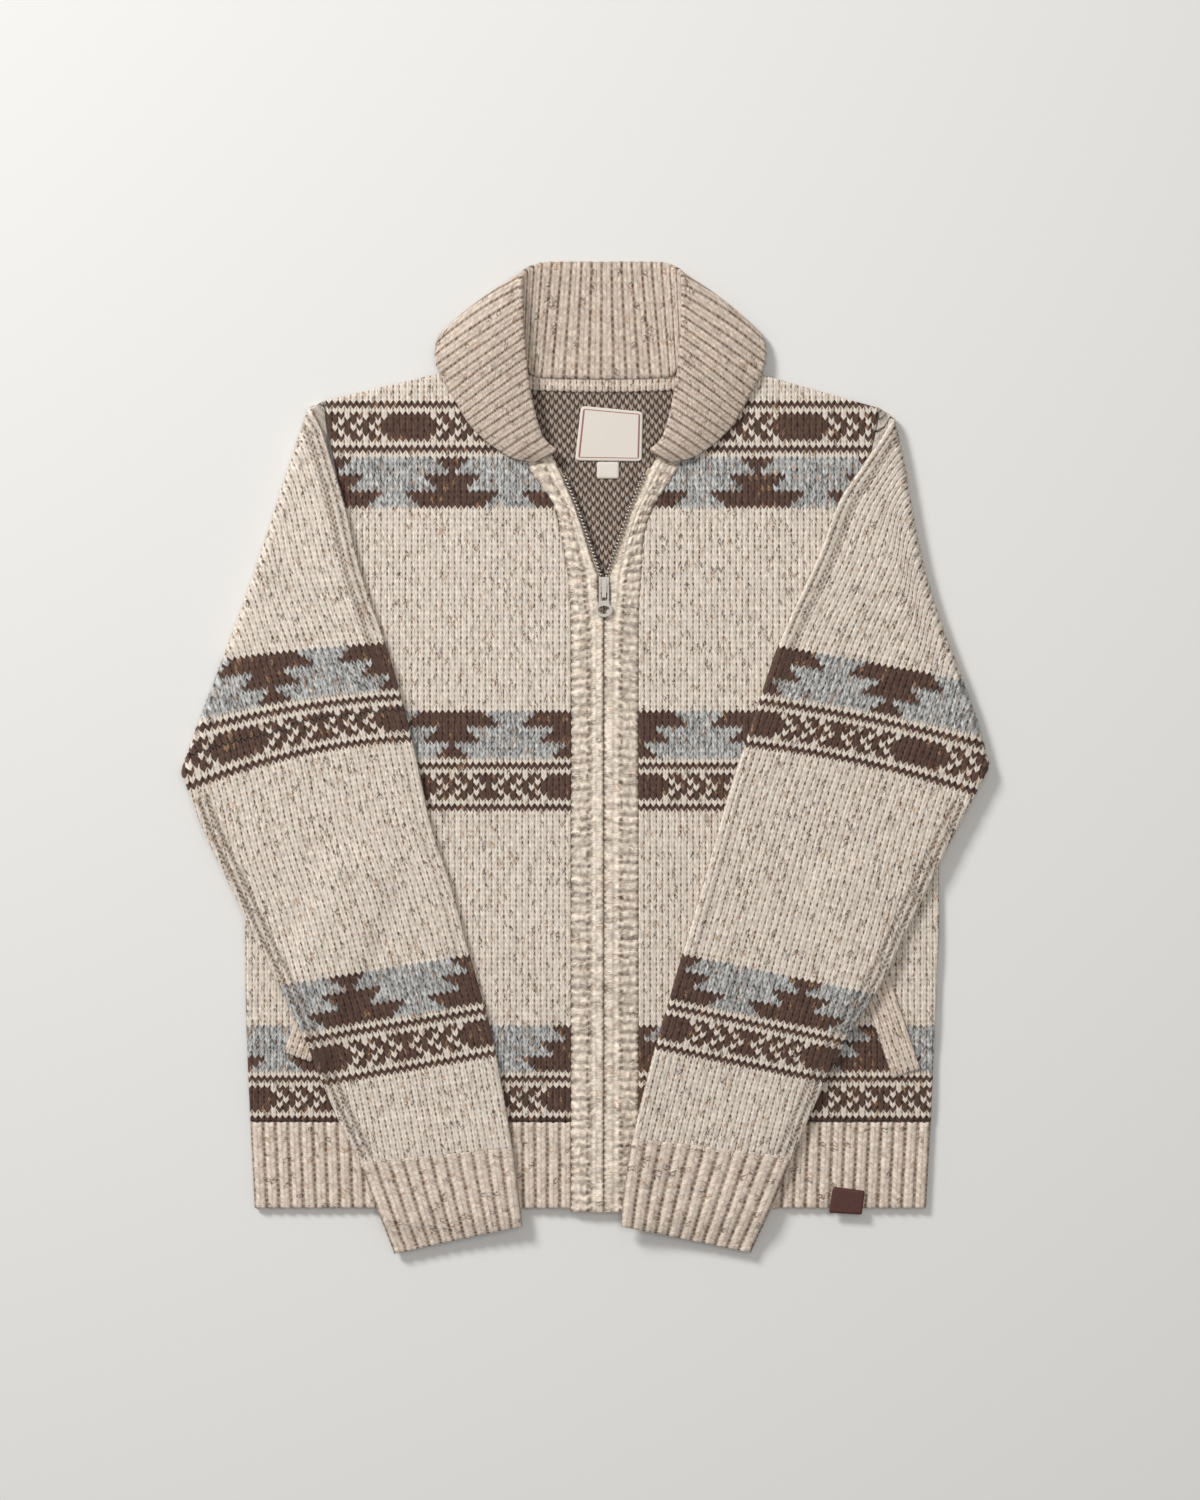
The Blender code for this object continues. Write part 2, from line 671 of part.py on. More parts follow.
def zip_slider():
    """Two plates joined by a wedge between the tapes, with a bridge that holds the pull."""
    middle = SLIDER_TOP - SLIDER_LENGTH / 2.0
    low = TAPE_LEVEL - GAP - PLATE / 2.0
    high = TAPE_LEVEL + TAPE_THICKNESS + GAP + PLATE / 2.0
    plate_top = high + PLATE / 2.0
    bridge_top = HINGE_Z + 2.6
    bridge_under = HINGE_Z + 1.4
    pieces = [
        block((SLIDER_WIDTH, SLIDER_LENGTH, PLATE), (0.0, middle, low), 0.78),
        block((SLIDER_WIDTH, SLIDER_LENGTH, PLATE), (0.0, middle, high), 0.78),
        block((3.0, 3.4, high - low), (0.0, SLIDER_TOP - 1.9, (low + high) / 2.0), 0.5),
    ]
    leg = bridge_top - plate_top + 0.4
    leg_z = plate_top - 0.4 + leg / 2.0
    pieces.append(block((4.0, 2.6, leg), (0.0, HINGE_Y + 4.0, leg_z)))
    pieces.append(block((3.6, 2.6, leg), (0.0, HINGE_Y - 3.9, leg_z)))
    top_z = (bridge_top + bridge_under) / 2.0
    pieces.append(block((3.9, 14.6, bridge_top - bridge_under), (0.0, HINGE_Y - 2.0, top_z), 0.8))
    join_solids("zip_slider", pieces, "metal", 0.25)


def ellipse(centre, half_width, half_height, count):
    """Points round an ellipse."""
    turns = [2.0 * math.pi * i / count for i in range(count)]
    return [(centre[0] + half_width * math.cos(t), centre[1] + half_height * math.sin(t)) for t in turns]


def zip_pull():
    """The pull tab: a slotted neck that hangs on the bridge and an oval ring at its end."""
    neck_half, slot_half, slot_end = 4.1, 2.7, -11.8
    ring_centre = (0.0, -19.2)
    ring_points = []
    for i in range(15):
        turn = math.radians(lerp(130.0, 410.0, i / 14.0))
        ring_points.append((6.8 * math.cos(turn), ring_centre[1] + 5.8 * math.sin(turn)))
    start = PULL_THICKNESS / 2.0
    outline = [(neck_half, start), (-neck_half, start), (-neck_half, slot_end)] + ring_points
    outline.append((neck_half, slot_end))
    slot = [(-slot_half, -start), (slot_half, -start), (slot_half, slot_end), (-slot_half, slot_end)]
    hole = ellipse(ring_centre, 4.8, 3.3, 16)
    curve = bpy.data.curves.new("zip_pull", "CURVE")
    curve.dimensions = "2D"
    curve.fill_mode = "BOTH"
    curve.extrude = PULL_THICKNESS / 2.0 * MM
    for loop in (outline, slot, hole):
        spline = curve.splines.new("POLY")
        spline.points.add(len(loop) - 1)
        for point, place in zip(spline.points, loop):
            point.co = (place[0] * MM, place[1] * MM, 0.0, 1.0)
        spline.use_cyclic_u = True
    shape = bpy.data.objects.new("zip_pull_outline", curve)
    bpy.data.collections[NAME].objects.link(shape)
    graph = bpy.context.evaluated_depsgraph_get()
    mesh = bpy.data.meshes.new_from_object(shape.evaluated_get(graph))
    bpy.data.objects.remove(shape)
    bm = bmesh.new()
    bm.from_mesh(mesh)
    bmesh.ops.remove_doubles(bm, verts=bm.verts, dist=0.00001)
    bm.to_mesh(mesh)
    bm.free()
    made = keep("zip_pull", mesh, "metal")
    made.location = (0.0, HINGE_Y * MM, HINGE_Z * MM)
    made.rotation_euler = (-PULL_TILT, 0.0, 0.0)


def flat_ring(width, columns, half, inset=0.0):
    """Points round a flattened tube's section: distance across and height."""
    start, end = inset, width - inset
    middle = SLEEVE_DEPTH / 2.0
    corner = half * 0.7
    turn = min(half, 3.2)
    ring = [(start, middle), (start + turn * 0.3, middle + corner)]
    for i in range(columns + 1):
        ring.append((lerp(start + turn, end - turn, i / columns), middle + half))
    ring += [(end - turn * 0.3, middle + corner), (end, middle), (end - turn * 0.3, middle - corner)]
    for i in range(columns, -1, -1):
        ring.append((lerp(start + turn, end - turn, i / columns), middle - half))
    ring.append((start + turn * 0.3, middle - corner))
    return ring


def sleeve_line(side, row):
    """Edges of one cross line of the flat sleeve and the bulge between them."""
    inner = Vector((row.inner_x, row.inner_y))
    outer = Vector((row.outer_x, row.outer_y))
    run = outer - inner
    up = Vector((-run.y, run.x)).normalized()
    if up.y < 0.0:
        up = -up

    def point(share):
        return inner + run * share + up * row.bulge * cap_curve(share)

    return run.length, point


def sleeve(side):
    """A sleeve as a flat tube, folded over the front along its fold line."""
    fold = Fold(side)
    rows = SLEEVES[side]
    top = fold.unfolded(armhole_point(side, 0.0))
    low = fold.unfolded(armhole_point(side, 1.0))
    lines = [((low - top).length, lambda share: fold.unfolded(armhole_point(side, share)))]
    for step in range(SLEEVE_STEPS + 1):
        lines.append(sleeve_line(side, blend_rows(rows, step / SLEEVE_STEPS)))
    half = SLEEVE_DEPTH / 2.0
    outer, inner = [], []
    for width, point in lines:
        for grid, ring in ((outer, flat_ring(width, SLEEVE_COLUMNS, half)),
                           (inner, flat_ring(width, SLEEVE_COLUMNS, GAP / 2.0, WALL))):
            row = []
            for across, height in ring:
                p = point(across / width)
                row.append(Vector((p.x, p.y, height)))
            grid.append(row)
    bm = bmesh.new()
    out_rows = add_grid(bm, outer, True)
    in_rows = add_grid(bm, inner, True)
    for end in (0, -1):
        stitch(bm, out_rows[end] + out_rows[end][:1], in_rows[end] + in_rows[end][:1])
    bmesh.ops.recalc_face_normals(bm, faces=bm.faces)
    for quarter in range(5):
        origin = fold.top + fold.out * (FOLD_CLOTH * quarter / 4.0)
        everything = bm.verts[:] + bm.edges[:] + bm.faces[:]
        bmesh.ops.bisect_plane(bm, geom=everything, dist=0.001, plane_co=(origin.x, origin.y, 0.0),
                               plane_no=(fold.out.x, fold.out.y, 0.0))
    bmesh.ops.triangulate(bm, faces=bm.faces)
    for vertex in bm.verts:
        vertex.co = fold.place(vertex.co.x, vertex.co.y, vertex.co.z)
    finish_mesh("sleeve_" + side, bm, "knit")


def cuff(side):
    """A cuff as a flat tube of ribs, open at the hand, lying over the hem's edge."""
    fold = Fold(side)
    profile = rib_profile(CUFF_RIBS)
    outer, inner = [], []
    rows = [blend_rows(CUFFS[side], share) for share in (0.0, 0.25, 0.45, 0.6, 0.72, 0.86, 1.0)]
    for row in rows:
        start = Vector((row.inner_x, row.inner_y))
        end = Vector((row.outer_x, row.outer_y))
        width = (end - start).length
        turn = 3.2
        ring = [(0.0, 3.2), (1.0, 0.95)]
        for share, add in profile:
            ring.append((lerp(turn, width - turn, share), -add))
        ring += [(width - 1.0, 0.95), (width, 3.2), (width - 1.0, 5.45)]
        for i in range(12, -1, -1):
            ring.append((lerp(turn, width - turn, i / 12), SLEEVE_DEPTH))
        ring.append((1.0, 5.45))
        line = []
        for across, height in ring:
            p = start.lerp(end, across / width)
            line.append(fold.place(p.x, p.y, height))
        outer.append(line)
        line = []
        for across, height in flat_ring(width, 8, GAP / 2.0, WALL):
            p = start.lerp(end, across / width)
            line.append(fold.place(p.x, p.y, height))
        line = [line[0]] + line[:0:-1]
        inner.append(line)
    closed_wall("cuff_" + side, outer, inner, "rib", ring=True)


def collar_rows():
    """The whole collar's table, from one lapel tip round the neck to the other."""
    rows = list(COLLAR_HALF)
    for row in reversed(COLLAR_HALF[:-1]):
        rows.append(row._replace(
            roll_x=-row.roll_x * COLLAR_RIGHT_SCALE, edge_x=-row.edge_x * COLLAR_RIGHT_SCALE,
            seam_x=-row.seam_x * COLLAR_RIGHT_SCALE, facing=180.0 - row.facing))
    return rows


def collar_shares(rows, count):
    """Even steps along the roll, as shares of the table."""
    fine = 400
    lengths, total = [0.0], 0.0
    last = None
    for i in range(fine + 1):
        row = blend_rows(rows, i / fine)
        spot = Vector((row.roll_x, row.roll_y, row.roll_z))
        if last is not None:
            total += (spot - last).length
            lengths.append(total)
        last = spot
    shares = []
    index = 0
    for step in range(count + 1):
        goal = total * step / count
        while index < fine - 1 and lengths[index + 1] < goal:
            index += 1
        part = (goal - lengths[index]) / (lengths[index + 1] - lengths[index])
        shares.append((index + max(0.0, min(1.0, part))) / fine)
    return shares


def collar_section(row):
    """Middle line of the collar's cloth at one station, from seam over roll to edge."""
    facing = math.radians(row.facing)
    lean = math.radians(row.lean)
    away = Vector((math.cos(facing), math.sin(facing), 0.0))
    up = Vector((0.0, 0.0, 1.0))
    peak = -away * math.cos(lean) + up * math.sin(lean)
    across = up * math.cos(lean) + away * math.sin(lean)
    roll = Vector((row.roll_x, row.roll_y, row.roll_z))
    edge = Vector((row.edge_x, row.edge_y, row.edge_z))
    seam = Vector((row.seam_x, row.seam_y, row.seam_z))
    gap = COLLAR_HALF_GAP
    near_stand = roll - peak * gap * 1.4 - across * gap
    near_fall = roll - peak * gap * 1.4 + across * gap
    puff = across * row.puff
    return [
        seam,
        seam.lerp(near_stand, 0.5),
        near_stand,
        roll,
        near_fall,
        near_fall.lerp(edge, 0.36) + puff,
        near_fall.lerp(edge, 0.72) + puff * 0.8,
        edge,
    ]


def collar_sheet(rows, shares):
    """Middle surface and its normals on the visible side at the given stations."""
    sections = [collar_section(blend_rows(rows, share)) for share in shares]
    sheet = []
    step = 0.002
    for share, section in zip(shares, sections):
        before = collar_section(blend_rows(rows, max(0.0, share - step)))
        after = collar_section(blend_rows(rows, min(1.0, share + step)))
        line = []
        for i, spot in enumerate(section):
            along = after[i] - before[i]
            across = section[min(i + 1, 7)] - section[max(i - 1, 0)]
            line.append((spot, across.cross(along).normalized()))
        sheet.append(line)
    return sheet


def collar_rib_share(row, index):
    """How much of the rib is raised: none on a layer that lies hidden or rests flat."""
    stand = smooth((row.lean - 30.0) / 50.0)
    fall = smooth((150.0 - row.lean) / 50.0)
    return (0.0, stand, stand, 1.0, fall, fall, fall, 0.6 * fall)[index]


def collar():
    """The shawl collar: ribs run from the neck seam over the roll to the free edge."""
    rows = collar_rows()
    half_wall = WALL / 2.0
    fine = collar_shares(rows, 2 * COLLAR_RIBS)
    plain = collar_shares(rows, 36)
    outer = [[] for _ in range(8)]
    for step, (share, line) in enumerate(zip(fine, collar_sheet(rows, fine))):
        row = blend_rows(rows, share)
        for i, (spot, normal) in enumerate(line):
            rib = RIB_HEIGHT * (step % 2) * collar_rib_share(row, i)
            face = spot + normal * (half_wall + rib)
            face.z = max(face.z, 0.0)
            outer[i].append(face)
    inner = [[] for _ in range(8)]
    for line in collar_sheet(rows, plain):
        for i, (spot, normal) in enumerate(line):
            inner[i].append(spot - normal * half_wall)
    closed_wall("collar", outer, inner, "rib")


def pocket_welt(side):
    """A ribbed pocket welt that lies slanted on the front."""
    low, high = Vector(WELTS[side].bottom), Vector(WELTS[side].top)
    run = (high - low).normalized()
    right = Vector((run.y, -run.x))
    outer, inner = [], []
    shares = (0.0, 0.012, 0.34, 0.67, 0.988, 1.0)
    for i, share in enumerate(shares):
        middle = low.lerp(high, share)
        ends = i in (0, len(shares) - 1)
        row = []
        for across, add in rib_profile(3, 0.0, WELT_RIB):
            p = middle + right * WELT_HALF * (2.0 * across - 1.0)
            edge = 0.9 if ends or across in (0.0, 1.0) else 0.0
            rib = 0.0 if ends else add
            row.append((p.x, p.y, front_top(p.x, p.y) + GAP + WELT_WALL + rib - edge))
        outer.append(row)
        plain = []
        for across in (0.0, 0.5, 1.0):
            p = middle + right * WELT_HALF * (2.0 * across - 1.0)
            plain.append((p.x, p.y, front_top(p.x, p.y) + GAP))
        inner.append(plain)
    closed_wall("pocket_welt_" + side, outer, inner, "rib")


def trims():
    """Neck tape, label and size tab inside the back, and the patch on the hem."""
    inside = WALL + GAP
    tape = []
    for i in range(9):
        x = lerp(-56.0, 53.0, i / 8.0)
        low = 655.6 + 1.6 * (abs(x) / 56.0) ** 2
        tape.append([(x, low, inside), (x, low + 9.6, inside)])
    panel("neck_tape", tape, "knit", 1.4, 0.4)
    panel("neck_label", corner_grid(NECK_LABEL, 4, 3, lambda x, y: inside), "label", 0.8, 0.25)
    panel("size_tab", corner_grid(SIZE_TAB, 2, 2, lambda x, y: inside), "label", 0.6, 0.2)
    on_ribs = RIB_HEIGHT + GAP
    patch = corner_grid(HEM_PATCH, 3, 3, lambda x, y: front_top(x, 10.0) + on_ribs)
    panel("hem_patch", patch, "leather", 1.6, 0.4)


def place_origin():
    """Move everything so that the origin lies under the middle of the whole sweater."""
    bpy.context.view_layer.update()
    graph = bpy.context.evaluated_depsgraph_get()
    pieces = list(bpy.data.collections[NAME].objects)
    low, high = Vector((1e9, 1e9, 1e9)), Vector((-1e9, -1e9, -1e9))
    for piece in pieces:
        mesh = piece.evaluated_get(graph).to_mesh()
        for vertex in mesh.vertices:
            spot = piece.matrix_world @ vertex.co
            low = Vector(map(min, low, spot))
            high = Vector(map(max, high, spot))
    shift = Vector((-(low.x + high.x) / 2.0, -(low.y + high.y) / 2.0, -low.z))
    for piece in pieces:
        piece.location += shift


def main():
    """Clear the scene and build every piece."""
    for made in list(bpy.data.objects):
        bpy.data.objects.remove(made)
    bpy.context.scene.collection.children.link(bpy.data.collections.new(NAME))
    back_panel()
    hem_back()
    for side in ("l", "r"):
        front_panel(side)
        hem_front(side)
        placket(side)
        zip_tape(side)
        pocket_welt(side)
        sleeve(side)
        cuff(side)
    zip_slider()
    zip_pull()
    collar()
    trims()
    place_origin()


main()
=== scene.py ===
"""A zip-up shawl-collar sweater in patterned knit, laid flat on a pale floor.

Each sub-assembly is a class that knits, weaves or casts its own pieces and dresses them.
Sizes are millimetres in the sweater's own plan until a mesh is made: x runs to the right of
the zip, y up from the hem and z up from the floor.
"""
import logging
import math
from collections.abc import Callable, Sequence
from dataclasses import dataclass
from enum import Enum, IntEnum
from functools import partial, reduce
from typing import NamedTuple

import bmesh
import bpy
import numpy as np
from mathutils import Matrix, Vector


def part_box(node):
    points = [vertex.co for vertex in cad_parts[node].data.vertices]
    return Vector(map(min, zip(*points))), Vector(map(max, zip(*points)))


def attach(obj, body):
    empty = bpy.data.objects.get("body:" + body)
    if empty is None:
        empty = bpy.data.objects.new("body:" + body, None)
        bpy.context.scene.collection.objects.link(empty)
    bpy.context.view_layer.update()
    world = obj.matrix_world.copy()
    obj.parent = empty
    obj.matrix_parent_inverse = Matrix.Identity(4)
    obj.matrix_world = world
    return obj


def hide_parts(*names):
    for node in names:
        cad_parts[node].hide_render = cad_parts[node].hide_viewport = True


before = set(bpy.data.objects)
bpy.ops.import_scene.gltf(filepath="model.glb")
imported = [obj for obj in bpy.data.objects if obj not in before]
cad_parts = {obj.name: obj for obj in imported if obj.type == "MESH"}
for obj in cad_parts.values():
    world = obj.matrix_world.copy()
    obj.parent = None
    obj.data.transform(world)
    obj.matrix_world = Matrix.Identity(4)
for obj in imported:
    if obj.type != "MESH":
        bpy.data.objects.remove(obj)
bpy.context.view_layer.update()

LOG = logging.getLogger("sweater")
MM = 0.001
BODY = "garment"

# The cloth, its layers and the levels that they lie at
WALL = 3.0
GAP = 0.4
ARMHOLE_GAP = 0.7
FRONT_LEVEL = WALL + GAP
FRONT_LAP = 0.1
SLEEVE_DEPTH = 2.0 * WALL + GAP
SLEEVE_EASE = 0.35
LEAST_HEIGHT = 0.02

# A flat sleeve folded over: the height that it turns about, and the cloth that the turn takes
FOLD_CENTRE = 6.6
FOLD_CLOTH = 10.4

# How the fronts rise over the zip and the chest
ZIP_RISE = 2.2
ZIP_REACH = 55.0
CHEST_RISE = 0.9
CHEST_X = 140.0
CHEST_Y = 400.0
CHEST_REACH = (60.0, 130.0)

# Heights of the hem, and sizes of the pocket welts and of one stitch
HEM_FOOT = 0.6
HEM_TOP = 70.0
HEM_SEAM = HEM_TOP + GAP
HEM_COURSES = 17
WELT_RISE = 3.5
WELT_HALF = 12.0
WALE = 4.92

Array = np.ndarray
Point = tuple[float, float]
Colour = tuple[float, float, float]
Piece = bpy.types.Object
Material = bpy.types.Material
Socket = bpy.types.NodeSocket
OpenMesh = bmesh.types.BMesh
Surface = Callable[[Array, Array], Array]
IN_PLAN = np.array((1.0, 1.0, 0.0))
HEM_BACK_CORNER = np.array((-283.5, HEM_FOOT, 0.0))
SHIFT = np.array(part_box("hem_back")[0]) / MM - HEM_BACK_CORNER


class Side(Enum):
    """The two halves as seen from above, with the sign of x on each."""

    LEFT = ("l", -1.0)
    RIGHT = ("r", 1.0)

    @property
    def tag(self) -> str:
        """Ending of the names of this half's pieces."""
        return self.value[0]

    @property
    def sign(self) -> float:
        """Sign of x on this half."""
        return self.value[1]


class Yarn(IntEnum):
    """Yarns that the sweater is knitted from."""

    BEIGE = 0
    CREAM = 1
    BROWN = 2
    GREY = 3
    RIB = 4
    BAND = 5
    BACKING = 6
    PALE = 7
    LABEL = 8
    LINE = 9
    COLLAR = 10


def from_display(red: float, green: float, blue: float) -> Colour:
    """Turn a display colour of 0 to 255 into the renderer's linear one.

    Args:
        red: Red part.
        green: Green part.
        blue: Blue part.

    Returns:
        The linear colour.
    """
    linear = []
    for part in (red, green, blue):
        share = part / 255.0
        linear.append(share / 12.92 if share < 0.04045 else ((share + 0.055) / 1.055) ** 2.4)
    return tuple(linear)


# Colour of each yarn, and how strongly its plies are marled
YARN_COLOURS = {
    Yarn.BEIGE: (*from_display(235, 223, 209), 0.34),
    Yarn.CREAM: (*from_display(232, 221, 207), 0.14),
    Yarn.BROWN: (*from_display(95, 72, 62), 0.55),
    Yarn.GREY: (*from_display(182, 182, 180), 1.0),
    Yarn.RIB: (*from_display(229, 213, 197), 0.34),
    Yarn.BAND: (*from_display(234, 220, 203), 0.50),
    Yarn.BACKING: (*from_display(86, 70, 60), 0.50),
    Yarn.PALE: (*from_display(182, 167, 154), 0.40),
    Yarn.LABEL: (*from_display(226, 218, 207), 0.0),
    Yarn.LINE: (*from_display(160, 104, 92), 0.0),
    # Rib yarn painted darker on the collar, as shade from the lapels' roll
    Yarn.COLLAR: (*from_display(214, 197, 181), 0.36),
}
PALETTE = np.array([YARN_COLOURS[yarn] for yarn in Yarn])


def smooth(share: Array) -> Array:
    """Ease shares from 0 to 1, held at both ends."""
    share = np.clip(share, 0.0, 1.0)
    return share * share * (3.0 - 2.0 * share)


def lerp(first: Array, second: Array, share: Array) -> Array:
    """Blend two values by a share."""
    return first + (second - first) * share


def blend_rows(rows: Array, share: Array) -> Array:
    """Read a table at shares of its length, along a smooth curve.

    Args:
        rows: Table, one row for each station.
        share: Places to read, from 0 to 1.

    Returns:
        One row of values for each share.
    """
    place = np.clip(share, 0.0, 1.0) * (len(rows) - 1)
    index = np.minimum(place.astype(int), len(rows) - 2)
    t = (place - index)[:, None]
    a = rows[np.maximum(index - 1, 0)]
    b, c = rows[index], rows[index + 1]
    d = rows[np.minimum(index + 2, len(rows) - 1)]
    return b + 0.5 * t * (c - a + t * (2 * a - 5 * b + 4 * c - d + t * (3 * (b - c) + d - a)))


def read_curve(places: Array, knots: Sequence[float], values: Sequence[float]) -> Array:
    """Smooth curve through a few values, with no overshoot between them.

    Args:
        places: Where to read the curve.
        knots: Rising places of the known values.
        values: The known values.

    Returns:
        The curve's values.
    """
    knots, values = np.asarray(knots, float), np.asarray(values, float)
    slopes = np.diff(values) / np.diff(knots)
    bends = np.concatenate(([slopes[0]], (slopes[1:] + slopes[:-1]) / 2.0, [slopes[-1]]))
    index = np.clip(np.searchsorted(knots, places) - 1, 0, len(knots) - 2)
    width = knots[index + 1] - knots[index]
    t = np.clip((places - knots[index]) / width, 0.0, 1.0)
    start, end = values[index], values[index + 1]
    rise = bends[index] * width * (t - 2 * t * t + t**3)
    fall = bends[index + 1] * width * (t**3 - t * t)
    return start + (end - start) * (3 * t * t - 2 * t**3) + rise + fall


def least(*distances: Array) -> Array:
    """Smallest of several distances at each point."""
    return reduce(np.minimum, distances)


def bell(distance: Array, reach: float) -> Array:
    """Soft hump: 1 at no distance, and falling away over a reach."""
    return np.exp(-((distance / reach) ** 2))


def lift(x: Array, y: Array) -> Array:
    """Soft rise of the fronts towards the zip and over the chest."""
    chest = bell(np.abs(x) - CHEST_X, CHEST_REACH[0]) * bell(y - CHEST_Y, CHEST_REACH[1])
    return ZIP_RISE * bell(x, ZIP_REACH) + CHEST_RISE * chest


def front_top(x: Array, y: Array) -> Array:
    """Upper face of a front panel."""
    return FRONT_LEVEL + WALL + lift(x, y)


def front_underside(x: Array, y: Array) -> Array:
    """Lower face of a front panel."""
    return FRONT_LEVEL + lift(x, y) - FRONT_LAP


def on_back(x: Array, y: Array) -> Array:
    """Level just above the back panel."""
    return FRONT_LEVEL + 0.0 * x


def on_floor(x: Array, y: Array) -> Array:
    """Level of the floor."""
    return 0.0 * x


def cap_curve(share: Array) -> Array:
    """Depth profile of an armhole between its two ends."""
    return np.sin(np.pi * np.clip(share, 0.0, 1.0) ** 1.2)


def edge_drop(distance: Array, radius: float) -> Array:
    """How far a rounded edge has dropped at a distance in from its outline."""
    share = np.clip(1.0 - distance / radius, 0.0, 1.0)
    return radius * (1.0 - np.sqrt(1.0 - share * share))


class StitchForm(NamedTuple):
    """Rise and fall of the knit across one wale or one rib.

    across holds the columns' places in the repeat, rise their heights and slant how far up
    each is moved, in courses, so that the courses run in a zigzag. dip is the hollow between
    two courses.
    """

    across: tuple[float, ...]
    rise: tuple[float, ...]
    slant: tuple[float, ...]
    dip: float

    def columns(self, first: int, last: int) -> tuple[Array, Array, Array]:
        """Lay the repeat side by side.

        Args:
            first: First wale or rib.
            last: Last wale or rib, where one more column closes the row.

        Returns:
            Place, rise and slant of each column.
        """
        count = last - first
        places = np.concatenate([np.array(self.across) + k for k in range(first, last)])
        places = np.append(places, float(last))
        rise = np.append(np.tile(self.rise, count), self.rise[0])
        slant = np.append(np.tile(self.slant, count), self.slant[0])
        return places, rise, slant


STOCKING = StitchForm(
    across=(0.0, 0.25, 0.5, 0.75),
    rise=(-0.75, 0.28, -0.22, 0.28),
    slant=(0.38, 0.0, -0.38, 0.0),
    dip=0.26,
)
RIBBING = StitchForm(
    across=(0.0, 0.11, 0.26, 0.45, 0.64, 0.79, 0.9),
    rise=(-0.35, 0.35, 1.35, 1.05, 1.35, 0.35, -0.35),
    slant=(0.1, 0.2, 0.05, -0.22, 0.05, 0.2, 0.1),
    dip=0.28,
)

# How uneven hand-fed yarn makes the stitches: in height, across and along
UNEVEN_RISE = 0.06
UNEVEN_WALE = 0.018
UNEVEN_COURSE = 0.03

# How far apart the pieces lie in their shared map of stitches, and points that count as one
PIECE_SHIFT = np.array((37.0, 53.0))
DOUBLED = 0.02


class KnitGrid:
    """A grid of stitches: columns across the wales and two lines to each course."""

    def __init__(self, form: StitchForm, wales: int, courses: int) -> None:
        """Lay out the grid.

        Args:
            form: The stitch's form.
            wales: How many wales or ribs lie side by side.
            courses: How many courses lie above each other.
        """
        self.wales, self.courses = wales, courses
        across, rise, slant = form.columns(0, wales)
        along = np.arange(2 * courses + 1) / 2.0
        self.u, self.v = np.meshgrid(across, along)
        dip = np.where(self.v % 1.0 == 0.0, form.dip, 0.0)
        random = np.random.default_rng(len(across) * 7 + len(along))
        jitter = random.normal(0.0, 1.0, (3, *self.u.shape))
        self.relief = rise[None, :] - dip + UNEVEN_RISE * jitter[0]
        self.u_moved = self.u + UNEVEN_WALE * jitter[1]
        self.v_moved = self.v + slant[None, :] + UNEVEN_COURSE * jitter[2]

    @property
    def across(self) -> Array:
        """Share of the width at each point."""
        return np.clip(self.u_moved / self.wales, 0.0, 1.0)

    @property
    def along(self) -> Array:
        """Share of the length at each point."""
        return np.clip(self.v_moved / self.courses, 0.0, 1.0)

    @property
    def stitch(self) -> Array:
        """Wale and course of each point."""
        return np.stack((self.u, self.v), axis=-1)

    @property
    def cells(self) -> tuple[Array, Array]:
        """Wale and course number of each cell of the grid."""
        wale, course = self.u[:-1, :-1] + self.u[:-1, 1:], self.v[:-1, :-1] + self.v[1:, :-1]
        return np.floor(0.5 * wale).astype(int), np.floor(0.5 * course).astype(int)


class Cloth(NamedTuple):
    """A grid of cloth before it is sewn.

    points are its places in mm, rows by columns by 3, stitch the wale and course of each point,
    and yarn the yarn of each cell or of the whole. keep says which cells stay, and the last field
    how dark each point is: a fashioning mark, or painted shade in a hollow.
    """

    points: Array
    stitch: Array
    yarn: Array | Yarn
    keep: Array | None = None
    mark: Array | None = None


class Label(NamedTuple):
    """What a piece is called, the node that it stands for if any, its finish and its slot."""

    name: str
    node: str
    finish: str
    slot: str


